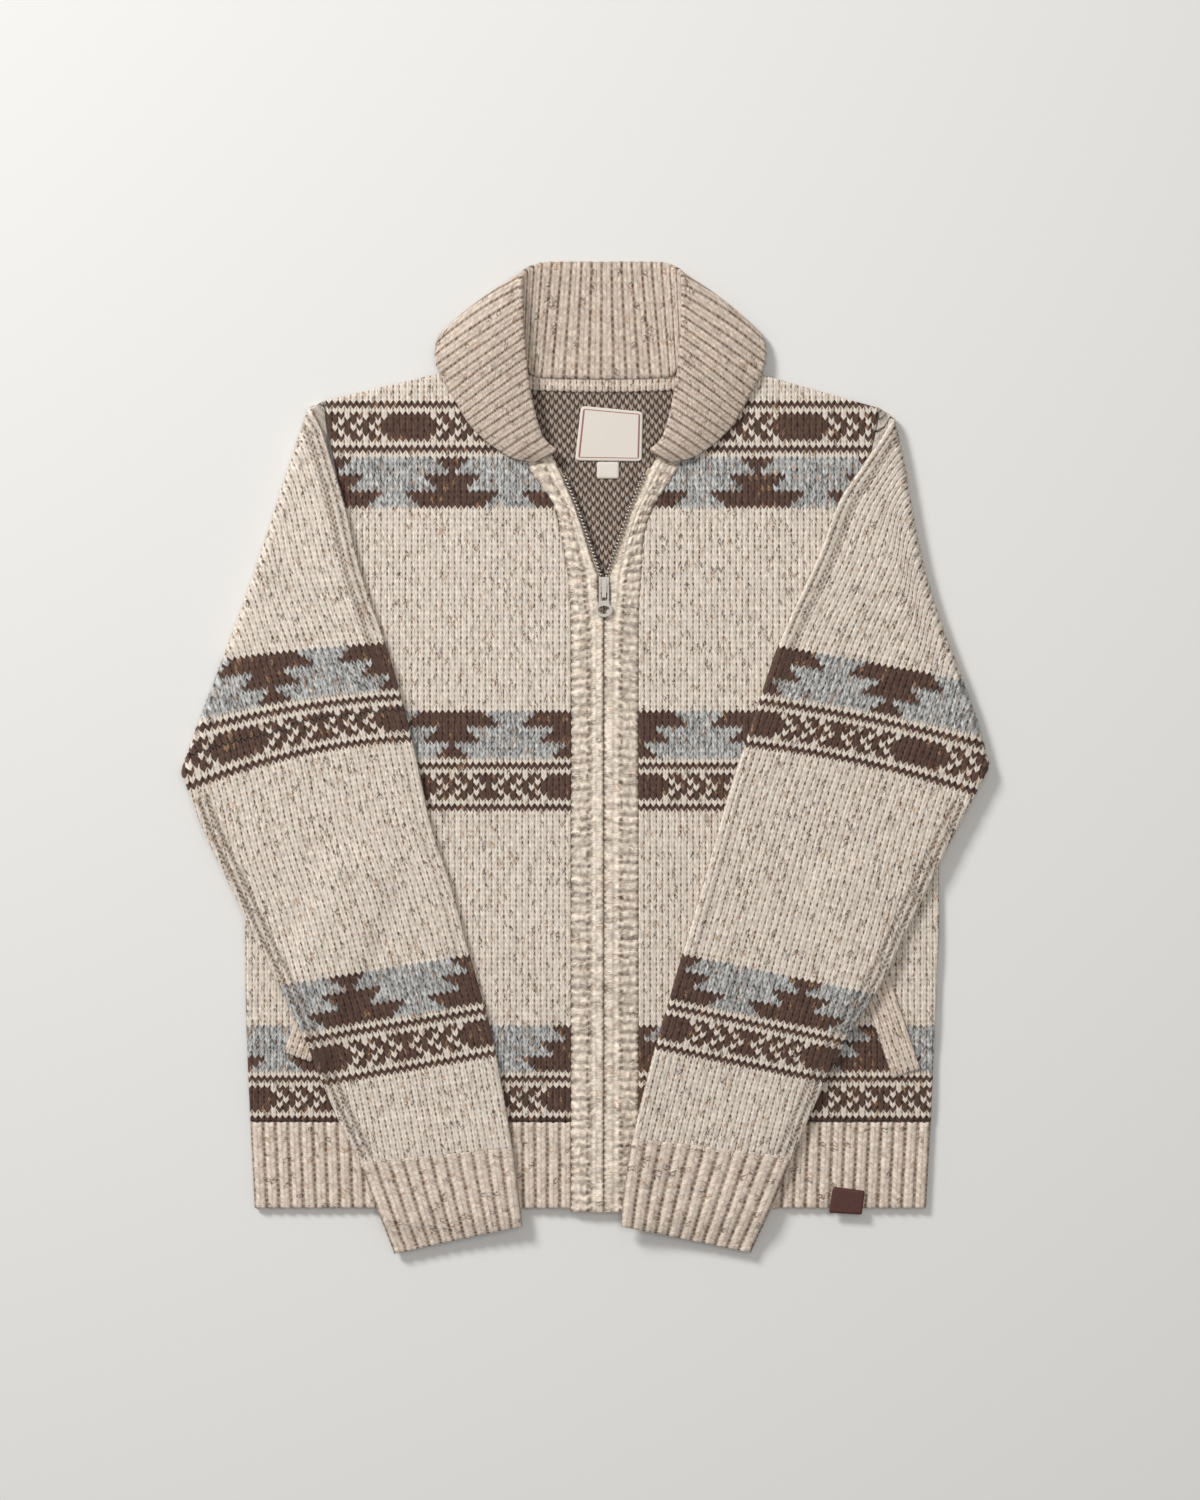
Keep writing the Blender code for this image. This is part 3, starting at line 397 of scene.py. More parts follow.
class Knitter:
    """Turns grids of points into dressed cloth objects."""

    def __init__(self, finishes: dict[str, Material]) -> None:
        """Keep the finishes by name."""
        self.finishes = finishes
        self.pieces = 0

    def sew(self, label: Label, cloth: Cloth,
            close: Callable[[OpenMesh], None]) -> Piece:
        """Make a finished piece of a grid of cloth.

        Args:
            label: What the piece is called and dressed in.
            cloth: Its grid.
            close: Closes the open cloth.

        Returns:
            The finished piece.
        """
        bm = self.cells_to_mesh(label.name, cloth)
        close(bm)
        return self.finish(label, bm)

    def cells_to_mesh(self, name: str, cloth: Cloth) -> OpenMesh:
        """Make quads of a grid of cloth, with stitch places and yarn colours.

        Args:
            name: Name of the mesh.
            cloth: The grid.

        Returns:
            The open cloth, with doubled points merged.
        """
        rows, columns = cloth.points.shape[:2]
        index = np.arange(rows * columns).reshape(rows, columns)
        quads = np.stack((index[:-1, :-1], index[:-1, 1:], index[1:, 1:], index[1:, :-1]), axis=-1)
        flat = quads.reshape(-1, 4)
        tones = PALETTE[np.broadcast_to(cloth.yarn, (rows - 1, columns - 1))].reshape(-1, 4)
        if cloth.keep is not None:
            chosen = cloth.keep.reshape(-1)
            flat, tones = flat[chosen], tones[chosen]
        mesh = bpy.data.meshes.new(name)
        mesh.vertices.add(rows * columns)
        places = (cloth.points + SHIFT) * MM
        mesh.vertices.foreach_set("co", places.astype(np.float32).ravel())
        mesh.loops.add(len(flat) * 4)
        mesh.loops.foreach_set("vertex_index", flat.astype(np.int32).ravel())
        mesh.polygons.add(len(flat))
        mesh.polygons.foreach_set("loop_start", np.arange(0, len(flat) * 4, 4, dtype=np.int32))
        layer = mesh.uv_layers.new(name="stitch")
        self.pieces += 1
        shifted = cloth.stitch.reshape(-1, 2)[flat.ravel()] + self.pieces * PIECE_SHIFT
        layer.data.foreach_set("uv", shifted.astype(np.float32).ravel())
        colours = mesh.color_attributes.new("yarn", "FLOAT_COLOR", "CORNER")
        colours.data.foreach_set("color", np.repeat(tones, 4, axis=0).astype(np.float32).ravel())
        marks = mesh.attributes.new("mark", "FLOAT", "POINT")
        if cloth.mark is not None:
            marks.data.foreach_set("value", cloth.mark.astype(np.float32).ravel())
        mesh.update(calc_edges=True)
        bm = bmesh.new()
        bm.from_mesh(mesh)
        bpy.data.meshes.remove(mesh)
        loose = [vertex for vertex in bm.verts if not vertex.link_faces]
        bmesh.ops.delete(bm, geom=loose, context="VERTS")
        bmesh.ops.remove_doubles(bm, verts=bm.verts, dist=DOUBLED * MM)
        return bm

    def finish(self, label: Label, bm: OpenMesh) -> Piece:
        """Make an object of a mesh, dress it, tie it to its body and hide the node that it stands for.

        Args:
            label: What the piece is called and dressed in.
            bm: Its mesh, in metres.

        Returns:
            The finished piece.
        """
        mesh = bpy.data.meshes.new(label.name)
        bm.to_mesh(mesh)
        bm.free()
        mesh.shade_smooth()
        made = bpy.data.objects.new(label.name, mesh)
        bpy.context.scene.collection.objects.link(made)
        mesh.materials.append(self.finishes[label.finish])
        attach(made, BODY)
        if label.node:
            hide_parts(label.node)
        triangles = sum(len(polygon.vertices) - 2 for polygon in mesh.polygons)
        LOG.info("%s: %d triangles", label.name, triangles)
        return made


def close_below(bm: OpenMesh, under: Surface) -> None:
    """Close a cloth with side walls and a plain underside.

    Args:
        bm: The open cloth, in metres.
        under: Height of the underside in mm, from places in plan.
    """
    part_bow_ties(bm)
    rim = [edge for edge in bm.edges if edge.is_boundary]
    made = bmesh.ops.extrude_edge_only(bm, edges=rim)["geom"]
    lower = [item for item in made if isinstance(item, bmesh.types.BMVert)]
    places = np.array([vertex.co for vertex in lower]) / MM - SHIFT
    heights = under(places[:, 0], places[:, 1]) + SHIFT[2]
    for vertex, height in zip(lower, heights):
        vertex.co.z = height * MM
    fill_holes(bm)


def fill_holes(bm: OpenMesh) -> None:
    """Fill every hole of a mesh with one flat face and turn all faces outwards.

    Args:
        bm: The mesh.
    """
    edges = [edge for edge in bm.edges if edge.is_boundary]
    bmesh.ops.holes_fill(bm, edges=edges, sides=0)
    turn_outwards(bm)


def turn_outwards(bm: OpenMesh) -> None:
    """Turn all faces of a mesh outwards and leave its holes open."""
    bmesh.ops.recalc_face_normals(bm, faces=bm.faces)


def part_bow_ties(bm: OpenMesh) -> None:
    """Part the faces at each point where an outline touches itself.

    Args:
        bm: The mesh.
    """
    for vertex in list(bm.verts):
        rim = [edge for edge in vertex.link_edges if edge.is_boundary]
        if len(rim) > 2:
            bmesh.utils.vert_separate(vertex, rim)


def cell_area(points: Array) -> Array:
    """Area of each cell of a grid, from its diagonals."""
    diagonals = points[1:, 1:] - points[:-1, :-1], points[1:, :-1] - points[:-1, 1:]
    return 0.5 * np.linalg.norm(np.cross(*diagonals), axis=-1)


class Trees(Enum):
    """Widths of the stepped trees in the grey courses, from the top down."""

    HANGING = (11, 13, 15, 5, 7, 9, 1, 3, 5)
    STANDING = (5, 3, 1, 9, 7, 5, 15, 13, 11)


class Checks(Enum):
    """Courses beside the trees, from the top down: Brown, White, or a Pattern of checks."""

    BELOW = "WBWPPPPPWB"
    ABOVE = "BWPPPPPWBW"


BAND_COURSES = 19
TREE_COURSES = 9
TREE_REPEAT = 19
CHECK_REPEAT = 26
CHECK_OUTER = (4, 7, 10, 16, 19, 22)
CHECK_NEXT = (5, 8, 11, 15, 18, 21)
CHECK_MIDDLE = (6, 9, 12, 14, 17, 20)
CHECK_COURSES = (CHECK_OUTER, CHECK_NEXT, CHECK_MIDDLE, CHECK_NEXT, CHECK_OUTER)


@dataclass(frozen=True)
class Band:
    """One patterned band.

    Attributes:
        first: Its lowest course.
        trees: Form of its trees.
        checks: Its other courses, above or below the trees.
    """

    first: int
    trees: Trees
    checks: Checks = Checks.BELOW

    def yarn(self, wale: Array, row: Array) -> Array:
        """Yarn of stitches of the band.

        Args:
            wale: Wale of each stitch.
            row: Its course, counted from the band's top.

        Returns:
            Yarn number of each stitch.
        """
        below = self.checks is Checks.BELOW
        tree_row = row if below else row - len(self.checks.value)
        check_row = row - TREE_COURSES if below else row
        made = np.full(np.broadcast(wale, row).shape, int(Yarn.CREAM))
        in_trees = (tree_row >= 0) & (tree_row < TREE_COURSES)
        width = np.array(self.trees.value)[np.clip(tree_row, 0, TREE_COURSES - 1)]
        middle = TREE_REPEAT // 2
        distance = np.abs((wale + middle) % TREE_REPEAT - middle)
        tree = np.where(distance <= (width - 1) // 2, int(Yarn.BROWN), int(Yarn.GREY))
        made = np.where(in_trees, tree, made)
        start = self.checks.value.index("P")
        for k, kind in enumerate(self.checks.value):
            here = check_row == k
            if kind == "B":
                made = np.where(here, int(Yarn.BROWN), made)
            if kind == "P":
                cream = np.isin(wale % CHECK_REPEAT, CHECK_COURSES[k - start])
                made = np.where(here, np.where(cream, int(Yarn.CREAM), int(Yarn.BROWN)), made)
        return made


@dataclass(frozen=True)
class Chart:
    """Knitting chart: bands on a plain ground."""

    bands: tuple[Band, ...]

    def yarn(self, wale: Array, course: Array) -> Array:
        """Read the chart.

        Args:
            wale: Wale of each stitch.
            course: Course of each stitch.

        Returns:
            Yarn number of each stitch.
        """
        made = np.full(np.broadcast(wale, course).shape, int(Yarn.BEIGE))
        for band in self.bands:
            row = band.first + BAND_COURSES - 1 - course
            covered = (row >= 0) & (row < BAND_COURSES)
            made = np.where(covered, band.yarn(wale, row), made)
        return made


BODY_CHART = Chart((
    Band(0, Trees.STANDING), Band(60, Trees.HANGING), Band(117, Trees.STANDING, Checks.ABOVE)))
SLEEVE_CHART = Chart((Band(18, Trees.STANDING), Band(77, Trees.HANGING)))

# Height above the hem of a few courses of the body
BODY_COURSES = (0.0, 19.0, 60.0, 79.0, 117.0, 136.0, 146.0)
BODY_HEIGHTS = (HEM_SEAM, 147.2, 320.0, 399.2, 562.4, 647.0, 690.0)


class PlacketRow(NamedTuple):
    """One row of a front band: its seam edge and its zip edge, x away from the zip."""

    seam_x: float
    seam_y: float
    zip_x: float
    zip_y: float


# Where the fronts' inner edges leave the front bands for the neck, and the last side width used
NECK_CURVE_FROM = 640.0
ARMPIT_EASE = 8.0


@dataclass(frozen=True)
class HalfPlan:
    """Outline of one half of the body, with x counted away from the zip."""

    side: Side
    sides: tuple[Point, ...]
    shoulder: Point
    armpit: Point
    armhole_depth: float
    neck: Point
    placket: tuple[PlacketRow, ...]
    welt_bottom: Point
    welt_top: Point

    def armhole(self, share: Array, inset: float = 0.0) -> tuple[Array, Array]:
        """Find points along the armhole seam.

        Args:
            share: Shares of the way from the shoulder down to the armpit.
            inset: How far in from the seam the points lie.

        Returns:
            Their places across and up.
        """
        run = np.subtract(self.armpit, self.shoulder)
        inward = np.array((run[1], -run[0])) / np.hypot(*run)
        depth = self.armhole_depth * cap_curve(share) + inset
        x = self.shoulder[0] + run[0] * share + inward[0] * depth
        y = self.shoulder[1] + run[1] * share + inward[1] * depth
        return x, y

    def outer(self, y: Array) -> Array:
        """Find the outer edge of a body panel.

        Args:
            y: Heights above the hem line.

        Returns:
            Distances from the zip.
        """
        hole_x, hole_y = self.armhole(np.linspace(0.0, 1.0, 80), ARMHOLE_GAP)
        side = [row for row in self.sides if row[1] < self.armpit[1] - ARMPIT_EASE]
        heights = np.array([row[1] for row in side] + list(hole_y[::-1]))
        widths = np.array([row[0] for row in side] + list(hole_x[::-1]))
        return np.interp(y, heights, widths)

    def inner(self, y: Array) -> Array:
        """Find the edge of a front along its front band and neck.

        Args:
            y: Heights above the hem line.

        Returns:
            Distances from the zip.
        """
        heights = [row.seam_y for row in self.placket] + [NECK_CURVE_FROM, self.neck[1]]
        widths = [row.seam_x for row in self.placket] + [self.neck[0] - 1.0, self.neck[0]]
        return np.interp(y, heights, widths) + GAP

    def top(self, x: Array) -> Array:
        """Shoulder line over a place across the panel."""
        return np.interp(x, (self.neck[0], self.shoulder[0]), (self.neck[1] - 2.0, self.shoulder[1]))

    def welt_distance(self, x: Array, y: Array) -> Array:
        """Measure how far points lie from the pocket welt's middle line.

        Args:
            x: Distances from the zip.
            y: Heights above the hem line.

        Returns:
            Distances in plan.
        """
        low, high = np.array(self.welt_bottom), np.array(self.welt_top)
        run = high - low
        share = ((x - low[0]) * run[0] + (y - low[1]) * run[1]) / (run @ run)
        share = np.clip(share, 0.0, 1.0)
        return np.hypot(x - low[0] - run[0] * share, y - low[1] - run[1] * share)


LEFT_HALF = HalfPlan(
    Side.LEFT,
    ((280.0, 0.0), (283.5, 70.0), (286.5, 140.0), (288.0, 220.0), (288.5, 310.0), (288.0, 380.0)),
    (224.0, 648.0), (288.0, 378.0), 52.0, (63.5, 688.0),
    (PlacketRow(25.6, -2.4, 0.4, -2.4), PlacketRow(25.6, 240.0, 0.4, 240.0),
     PlacketRow(25.8, 468.0, 0.5, 472.0), PlacketRow(26.4, 489.0, 4.9, 490.0),
     PlacketRow(28.4, 510.0, 5.2, 508.0), PlacketRow(33.5, 541.0, 14.0, 538.0),
     PlacketRow(40.5, 567.0, 22.5, 563.0), PlacketRow(50.0, 580.0, 30.6, 582.0),
     PlacketRow(58.0, 592.0, 38.6, 600.5)),
    (245.6, 121.6), (197.6, 262.4),
)
RIGHT_HALF = HalfPlan(
    Side.RIGHT,
    ((258.0, 0.0), (262.0, 70.0), (265.0, 140.0), (268.5, 220.0), (268.5, 310.0), (265.0, 380.0)),
    (220.8, 642.0), (264.8, 380.0), 48.0, (58.0, 690.0),
    (PlacketRow(26.8, -2.4, 0.4, -2.4), PlacketRow(26.8, 240.0, 0.4, 240.0),
     PlacketRow(27.0, 466.0, 0.5, 472.0), PlacketRow(27.6, 488.0, 4.9, 490.0),
     PlacketRow(29.4, 512.0, 5.2, 507.0), PlacketRow(31.0, 540.0, 14.0, 535.0),
     PlacketRow(37.0, 560.0, 22.0, 560.0), PlacketRow(47.0, 576.0, 31.0, 580.0),
     PlacketRow(56.5, 591.0, 38.4, 597.5)),
    (242.4, 108.8), (193.6, 252.0),
)


@dataclass
class Hem:
    """Ribs of a hem below a body panel, knitted from its near edge to its far one."""

    knitter: Knitter
    node: str
    ribs: int
    sign: float
    near: Callable[[Array], Array]
    far: Callable[[Array], Array]
    face: Surface
    under: Surface
    relief: float
    edge: float
    rests_on: str

    def build(self) -> Piece:
        """Knit the hem.

        Returns:
            The finished hem.
        """
        grid = KnitGrid(RIBBING, self.ribs, HEM_COURSES)
        y = lerp(HEM_FOOT, HEM_TOP, grid.along)
        near, far = self.near(y), self.far(y)
        x = lerp(near, far, grid.across)
        rim = least(x - near, far - x, HEM_TOP - y, y - HEM_FOOT)
        z = self.face(x, y) + self.relief * grid.relief - edge_drop(rim, self.edge)
        points = np.stack((self.sign * x, y, z), axis=-1)
        made = self.knitter.sew(
            Label(self.node + "_knit", self.node, "rib", "rib"),
            Cloth(points, grid.stitch, Yarn.RIB), partial(close_below, under=self.under))
        return made


@dataclass
class Front:
    """A front panel with its patterned bands, and the ribbed hem below it."""

    plan: HalfPlan
    knitter: Knitter
    ribs: int
    edge: float = 1.8
    least_cell: float = 0.12
    wave: float = 0.35
    hem_sink: float = 0.3

    def surface(self, x: Array, y: Array) -> Array:
        """Upper face in mm, with the soft waves of laid cloth."""
        return front_top(x, y) + self.wave * np.sin(x / 31.0 + 0.013 * y) * np.sin(y / 57.0 + 1.3)

    def build_panel(self) -> Piece:
        """Knit the front from the hem seam to the shoulder.

        Returns:
            The finished front.
        """
        plan, node = self.plan, "front_" + self.plan.side.tag
        widest = max(row[0] for row in plan.sides)
        wales = math.ceil((widest - float(plan.inner(HEM_SEAM))) / WALE)
        grid = KnitGrid(STOCKING, wales, int(BODY_COURSES[-1]))
        y = np.maximum(read_curve(grid.v_moved, BODY_COURSES, BODY_HEIGHTS), HEM_SEAM)
        x = plan.placket[0].seam_x + GAP + grid.u_moved * WALE
        y = np.minimum(y, plan.top(x))
        inner, outer = plan.inner(y), plan.outer(y)
        x = np.clip(x, inner, outer)
        rim = least(x - inner, outer - x, plan.top(x) - y, y - HEM_SEAM)
        z = self.surface(x, y) + grid.relief - edge_drop(rim, self.edge)
        points = np.stack((plan.side.sign * x, y, z), axis=-1)
        keep = cell_area(points * IN_PLAN) > self.least_cell
        made = self.knitter.sew(
            Label(node + "_knit", node, "knit", "knit"),
            Cloth(points, grid.stitch, BODY_CHART.yarn(*grid.cells), keep),
            partial(close_below, under=front_underside))
        width, height, area = self.flat_size()
        return made

    def flat_size(self) -> tuple[float, float, float]:
        """Measure the panel's cut.

        Returns:
            Its greatest width, its height and its area, in metres.
        """
        plan = self.plan
        heights = np.linspace(HEM_SEAM, plan.neck[1], 200)
        middle = 0.5 * (plan.inner(heights) + plan.outer(heights))
        widths = (plan.outer(heights) - plan.inner(heights)) * (heights < plan.top(middle))
        area = float(np.sum(widths) * (heights[1] - heights[0])) * MM * MM
        return float(np.max(widths)) * MM, (plan.neck[1] - HEM_SEAM) * MM, area

    def build(self) -> list[Piece]:
        """Build the panel and its hem.

        Returns:
            Both pieces.
        """
        plan = self.plan
        widths, heights = zip(*plan.sides)
        hem = Hem(
            self.knitter, "hem_front_" + plan.side.tag, self.ribs, plan.side.sign,
            near=lambda y: plan.placket[0].seam_x + GAP + 0.0 * y,
            far=lambda y: np.interp(y, heights, widths),
            face=lambda x, y: self.surface(x, y) - self.hem_sink,
            under=front_underside, relief=1.0, edge=2.0, rests_on="hem_back")
        return [self.build_panel(), hem.build()]


@dataclass
class Back:
    """The back, plain where the fronts hide it and jacquard inside the neck."""

    knitter: Knitter
    halves: tuple[HalfPlan, HalfPlan]
    wale: float = 3.35
    course: float = 3.9
    fine_half: int = 22
    fine_from: float = 478.0
    fine_to: float = 692.0
    plain: tuple[int, int] = (13, 23)
    reach: float = 300.0
    relief: float = 0.8
    neck_depth: float = 20.5
    ribs: int = 56
    hem_sink: float = 0.9
    hem_edges: tuple[Point, ...] = ((-280.0, -283.5), (258.0, 262.0))

    def columns(self) -> tuple[Array, Array, Array]:
        """Lay out the columns, fine in the middle.

        Returns:
            Place, rise and slant of each column.
        """
        fine, rise, slant = STOCKING.columns(-self.fine_half, self.fine_half)
        wide = np.linspace(self.fine_half * self.wale, self.reach, self.plain[0] + 1)[1:]
        flat = np.zeros(self.plain[0])
        places = np.concatenate((-wide[::-1], fine * self.wale, wide))
        return places, np.concatenate((flat, rise, flat)), np.concatenate((flat, slant, flat))

    def rows(self) -> tuple[Array, Array]:
        """Lay out the rows, fine at the top.

        Returns:
            Height of each row, and its course, which is negative below the jacquard.
        """
        count = int((self.fine_to - self.fine_from) / self.course)
        fine = np.arange(0, 2 * count + 1) / 2.0
        low = np.linspace(HEM_SEAM, self.fine_from, self.plain[1] + 1)[:-1]
        heights = np.concatenate((low, self.fine_from + fine * self.course))
        return heights, np.concatenate(((low - self.fine_from) / self.course, fine))

    def build_panel(self) -> Piece:
        """Knit the back, fine only where it shows.

        Returns:
            The finished back.
        """
        left, right = self.halves
        x_line, rise, slant = self.columns()
        y_line, v_line = self.rows()
        dip = np.where((v_line >= 0.0) & (v_line % 1.0 == 0.0), STOCKING.dip, 0.0)
        fine = (v_line > 0.0).astype(float)[:, None]
        x, y = np.meshgrid(x_line, y_line)
        y = np.maximum(y + slant[None, :] * self.course * fine, HEM_SEAM)
        shoulder = np.where(x < 0.0, left.top(-x), right.top(x))
        limit = np.minimum(self.neck_edge(x), shoulder)
        y = np.where(limit - y < GAP, limit, y)
        outer_l, outer_r = -left.outer(y), right.outer(y)
        x = np.clip(x, outer_l, outer_r)
        rim = least(x - outer_l, outer_r - x, limit - y)
        relief = (0.8 * rise[None, :] - dip[:, None]) * fine * self.relief * smooth(rim / 0.8)
        z = WALL - 0.15 + relief - edge_drop(rim, 1.6)
        points = np.stack((x, y, z), axis=-1)
        u_line = x_line / self.wale
        wale = np.floor(0.5 * (u_line[:-1] + u_line[1:])).astype(int)[None, :]
        row = np.floor(0.5 * (v_line[:-1] + v_line[1:])).astype(int)[:, None]
        birds_eye = np.where((wale + row) % 2 == 0, int(Yarn.PALE), int(Yarn.BACKING))
        keep = cell_area(points * IN_PLAN) > 0.08
        stitch = np.stack(np.meshgrid(u_line, v_line), axis=-1)
        made = self.knitter.sew(
            Label("back_knit", "back_panel", "backing", "knit"),
            Cloth(points, stitch, birds_eye, keep), partial(close_below, under=on_floor))
        return made

    def neck_edge(self, x: Array) -> Array:
        """Find the hollowed back neck.

        Args:
            x: Places across the back.

        Returns:
            Heights of the neck edge, far above the back beside the neck.
        """
        left, right = self.halves
        share = (x + left.neck[0]) / (left.neck[0] + right.neck[0])
        over_neck = (share > 0.0) & (share < 1.0)
        hollow = np.minimum(1.0, np.sin(np.pi * np.clip(share, 0.0, 1.0)) ** 0.5)
        return np.where(over_neck, left.neck[1] + 1.0 - self.neck_depth * hollow, 800.0)

    def build(self) -> list[Piece]:
        """Build the back and its hem, which rests flat below the front hems.

        Returns:
            Both pieces.
        """
        hem = Hem(
            self.knitter, "hem_back", self.ribs, 1.0,
            near=lambda y: np.interp(y, (0.0, HEM_TOP), self.hem_edges[0]),
            far=lambda y: np.interp(y, (0.0, HEM_TOP), self.hem_edges[1]),
            face=lambda x, y: WALL - self.hem_sink + 0.0 * x,
            under=on_floor, relief=0.6, edge=1.4, rests_on="floor")
        return [self.build_panel(), hem.build()]


# How far a folded sleeve rises over a front band, and hangs below the hem
PLACKET_RISE = 1.7
PLACKET_EDGE = 24.0
DROOP = 5.2
DROOP_FROM = -3.0


class Fold:
    """A line that a flat sleeve is folded over, and where its cloth then lies."""

    def __init__(self, plan: HalfPlan, top: Point, bottom: Point,
                 bow: float) -> None:
        """Set up the fold.

        Args:
            plan: Half of the body that the sleeve belongs to.
            top: Upper end of the fold line in plan.
            bottom: Its lower end.
            bow: How far the line is hollowed.
        """
        self.plan = plan
        self.top = np.array(top)
        run = np.array(bottom) - self.top
        self.length = float(np.hypot(*run))
        self.along = run / self.length
        out = np.array((-self.along[1], self.along[0]))
        self.out = out if out[0] * plan.side.sign > 0.0 else -out
        self.bow = bow

    def rise(self, x: Array, y: Array) -> Array:
        """Find how far the folded-over sleeve is lifted by what it lies on.

        Args:
            x: Places across in plan.
            y: Places up in plan.

        Returns:
            How far the sleeve is lifted there.
        """
        away = np.abs(x)
        placket = PLACKET_RISE * bell(np.maximum(0.0, away - PLACKET_EDGE), 14.0)
        ribs = smooth((HEM_TOP + 10.0 - y) / 12.0)
        welt = WELT_RISE * smooth((WELT_HALF + 26.0 - self.plan.welt_distance(away, y)) / 24.0)
        droop = DROOP * smooth((DROOP_FROM - y) / 26.0)
        return lift(x, y) + placket + ribs + welt - droop + SLEEVE_EASE

    def beyond(self, x: Array, y: Array) -> Array:
        """Distance of points beyond the fold line."""
        return (x - self.top[0]) * self.out[0] + (y - self.top[1]) * self.out[1]

    def unfolded(self, x: Array, y: Array) -> tuple[Array, Array]:
        """Place, in the flat sleeve, of points in the hidden part."""
        shift = FOLD_CLOTH - 2.0 * self.beyond(x, y)
        return x + self.out[0] * shift, y + self.out[1] * shift

    def place(self, x: Array, y: Array, height: Array) -> Array:
        """Fold points of the flat sleeve.

        Args:
            x: Their places across.
            y: Their places up.
            height: How far down they lie from the flat sleeve's upper face.

        Returns:
            Their folded places.
        """
        far = self.beyond(x, y)
        foot_x, foot_y = x - self.out[0] * far, y - self.out[1] * far
        turn = np.pi * np.clip(far / FOLD_CLOTH, 0.0, 1.0)
        radius = FOLD_CENTRE - height
        offset = radius * np.sin(turn) + np.minimum(far, 0.0) - np.maximum(far - FOLD_CLOTH, 0.0)
        z = FOLD_CENTRE + radius * np.cos(turn)
        along = (foot_x - self.top[0]) * self.along[0] + (foot_y - self.top[1]) * self.along[1]
        share = np.clip(along / self.length, 0.0, 1.0)
        reach = np.where(far < 0.0, 26.0, 10.0)
        hollow = self.bow * np.sin(np.pi * share) ** 2 * smooth(1.0 + offset / reach)
        plan_x = foot_x + self.out[0] * (offset - hollow)
        plan_y = foot_y + self.out[1] * (offset - hollow)
        z = z + np.where(far < 0.0, self.rise(plan_x, plan_y) * smooth(-far / 25.0), 0.0)
        return np.stack((plan_x, plan_y, z), axis=-1)


def inside(x: Array, y: Array, outline: Array) -> Array:
    """Tell which points lie inside a closed outline.

    Args:
        x: Their places across.
        y: Their places up.
        outline: Corners of the outline.

    Returns:
        True for each point inside.
    """
    result = np.zeros(x.shape, bool)
    for start, end in zip(outline, np.roll(outline, -1, axis=0)):
        crosses = (start[1] > y) != (end[1] > y)
        rise = end[1] - start[1]
        if rise:
            reach = start[0] + (y - start[1]) * (end[0] - start[0]) / rise
            result ^= crosses & (x < reach)
    return result


def flat_tube(face: Array, underside: Array) -> Array:
    """Join the grids of a flat tube's faces side by side, closed along their outer columns.

    Args:
        face: Points of the upper face.
        underside: Points of the hidden face, from the upper face's last column back.

    Returns:
        Points of the whole tube.
    """
    points = np.concatenate((face, underside), axis=1)
    points[:, -1] = points[:, 0]
    return points


class CourseLine(NamedTuple):
    """A course of a sleeve: its height at the upper fold, its tilt and its bend."""

    course: float
    height: float
    tilt: float
    bend: float


class SeamMark(NamedTuple):
    """A line of fashioning marks: its place in from an edge, darkness, width and courses."""

    place: float
    dark: float
    width: float
    first: float
    last: float = 200.0


UNDERARM_MARKS = (SeamMark(5.6, 1.0, 1.7, 1.5, 75.0), SeamMark(12.0, 0.85, 1.7, 1.5, 75.0))
FOLD_MARKS = (SeamMark(5.0, 0.9, 1.3, 98.0), SeamMark(12.4, 0.9, 1.3, 88.0),
              SeamMark(9.9, 0.45, 1.3, 30.0))
BETWEEN_DASHES = 0.35
MARK_DEPTH = 0.7

# How wide a sleeve's stitches are drawn, and how its width is looked for along a course
SLEEVE_STRETCH = 1.03
SCAN_STEP = 3.0
SCAN_REACH = 264.0
SCAN_HALVINGS = 9
HAND_COURSE = 0.6

# Columns of the hidden faces, as shares of the width, closest at the rounded edges
SLEEVE_COLUMNS = np.array((1.0, 0.985, 0.95, 0.85, 0.7, 0.55, 0.4, 0.25, 0.1, 0.04, 0.015, 0.0))
CUFF_COLUMNS = np.array((1.0, 0.985, 0.95, 0.8, 0.6, 0.4, 0.2, 0.05, 0.015, 0.0))

# The cuff, and its lip: rows as a share of the length and how far they are set in
CUFF_RIBS = 11
CUFF_COURSES = 20
CUFF_LENGTH = 82.0
CUFF_WIDTH = 105.0
CUFF_LIP = np.array(((1.0, 1.9), (0.99, 2.6), (0.93, 2.75)))
LIP_DEPTH = 3.0


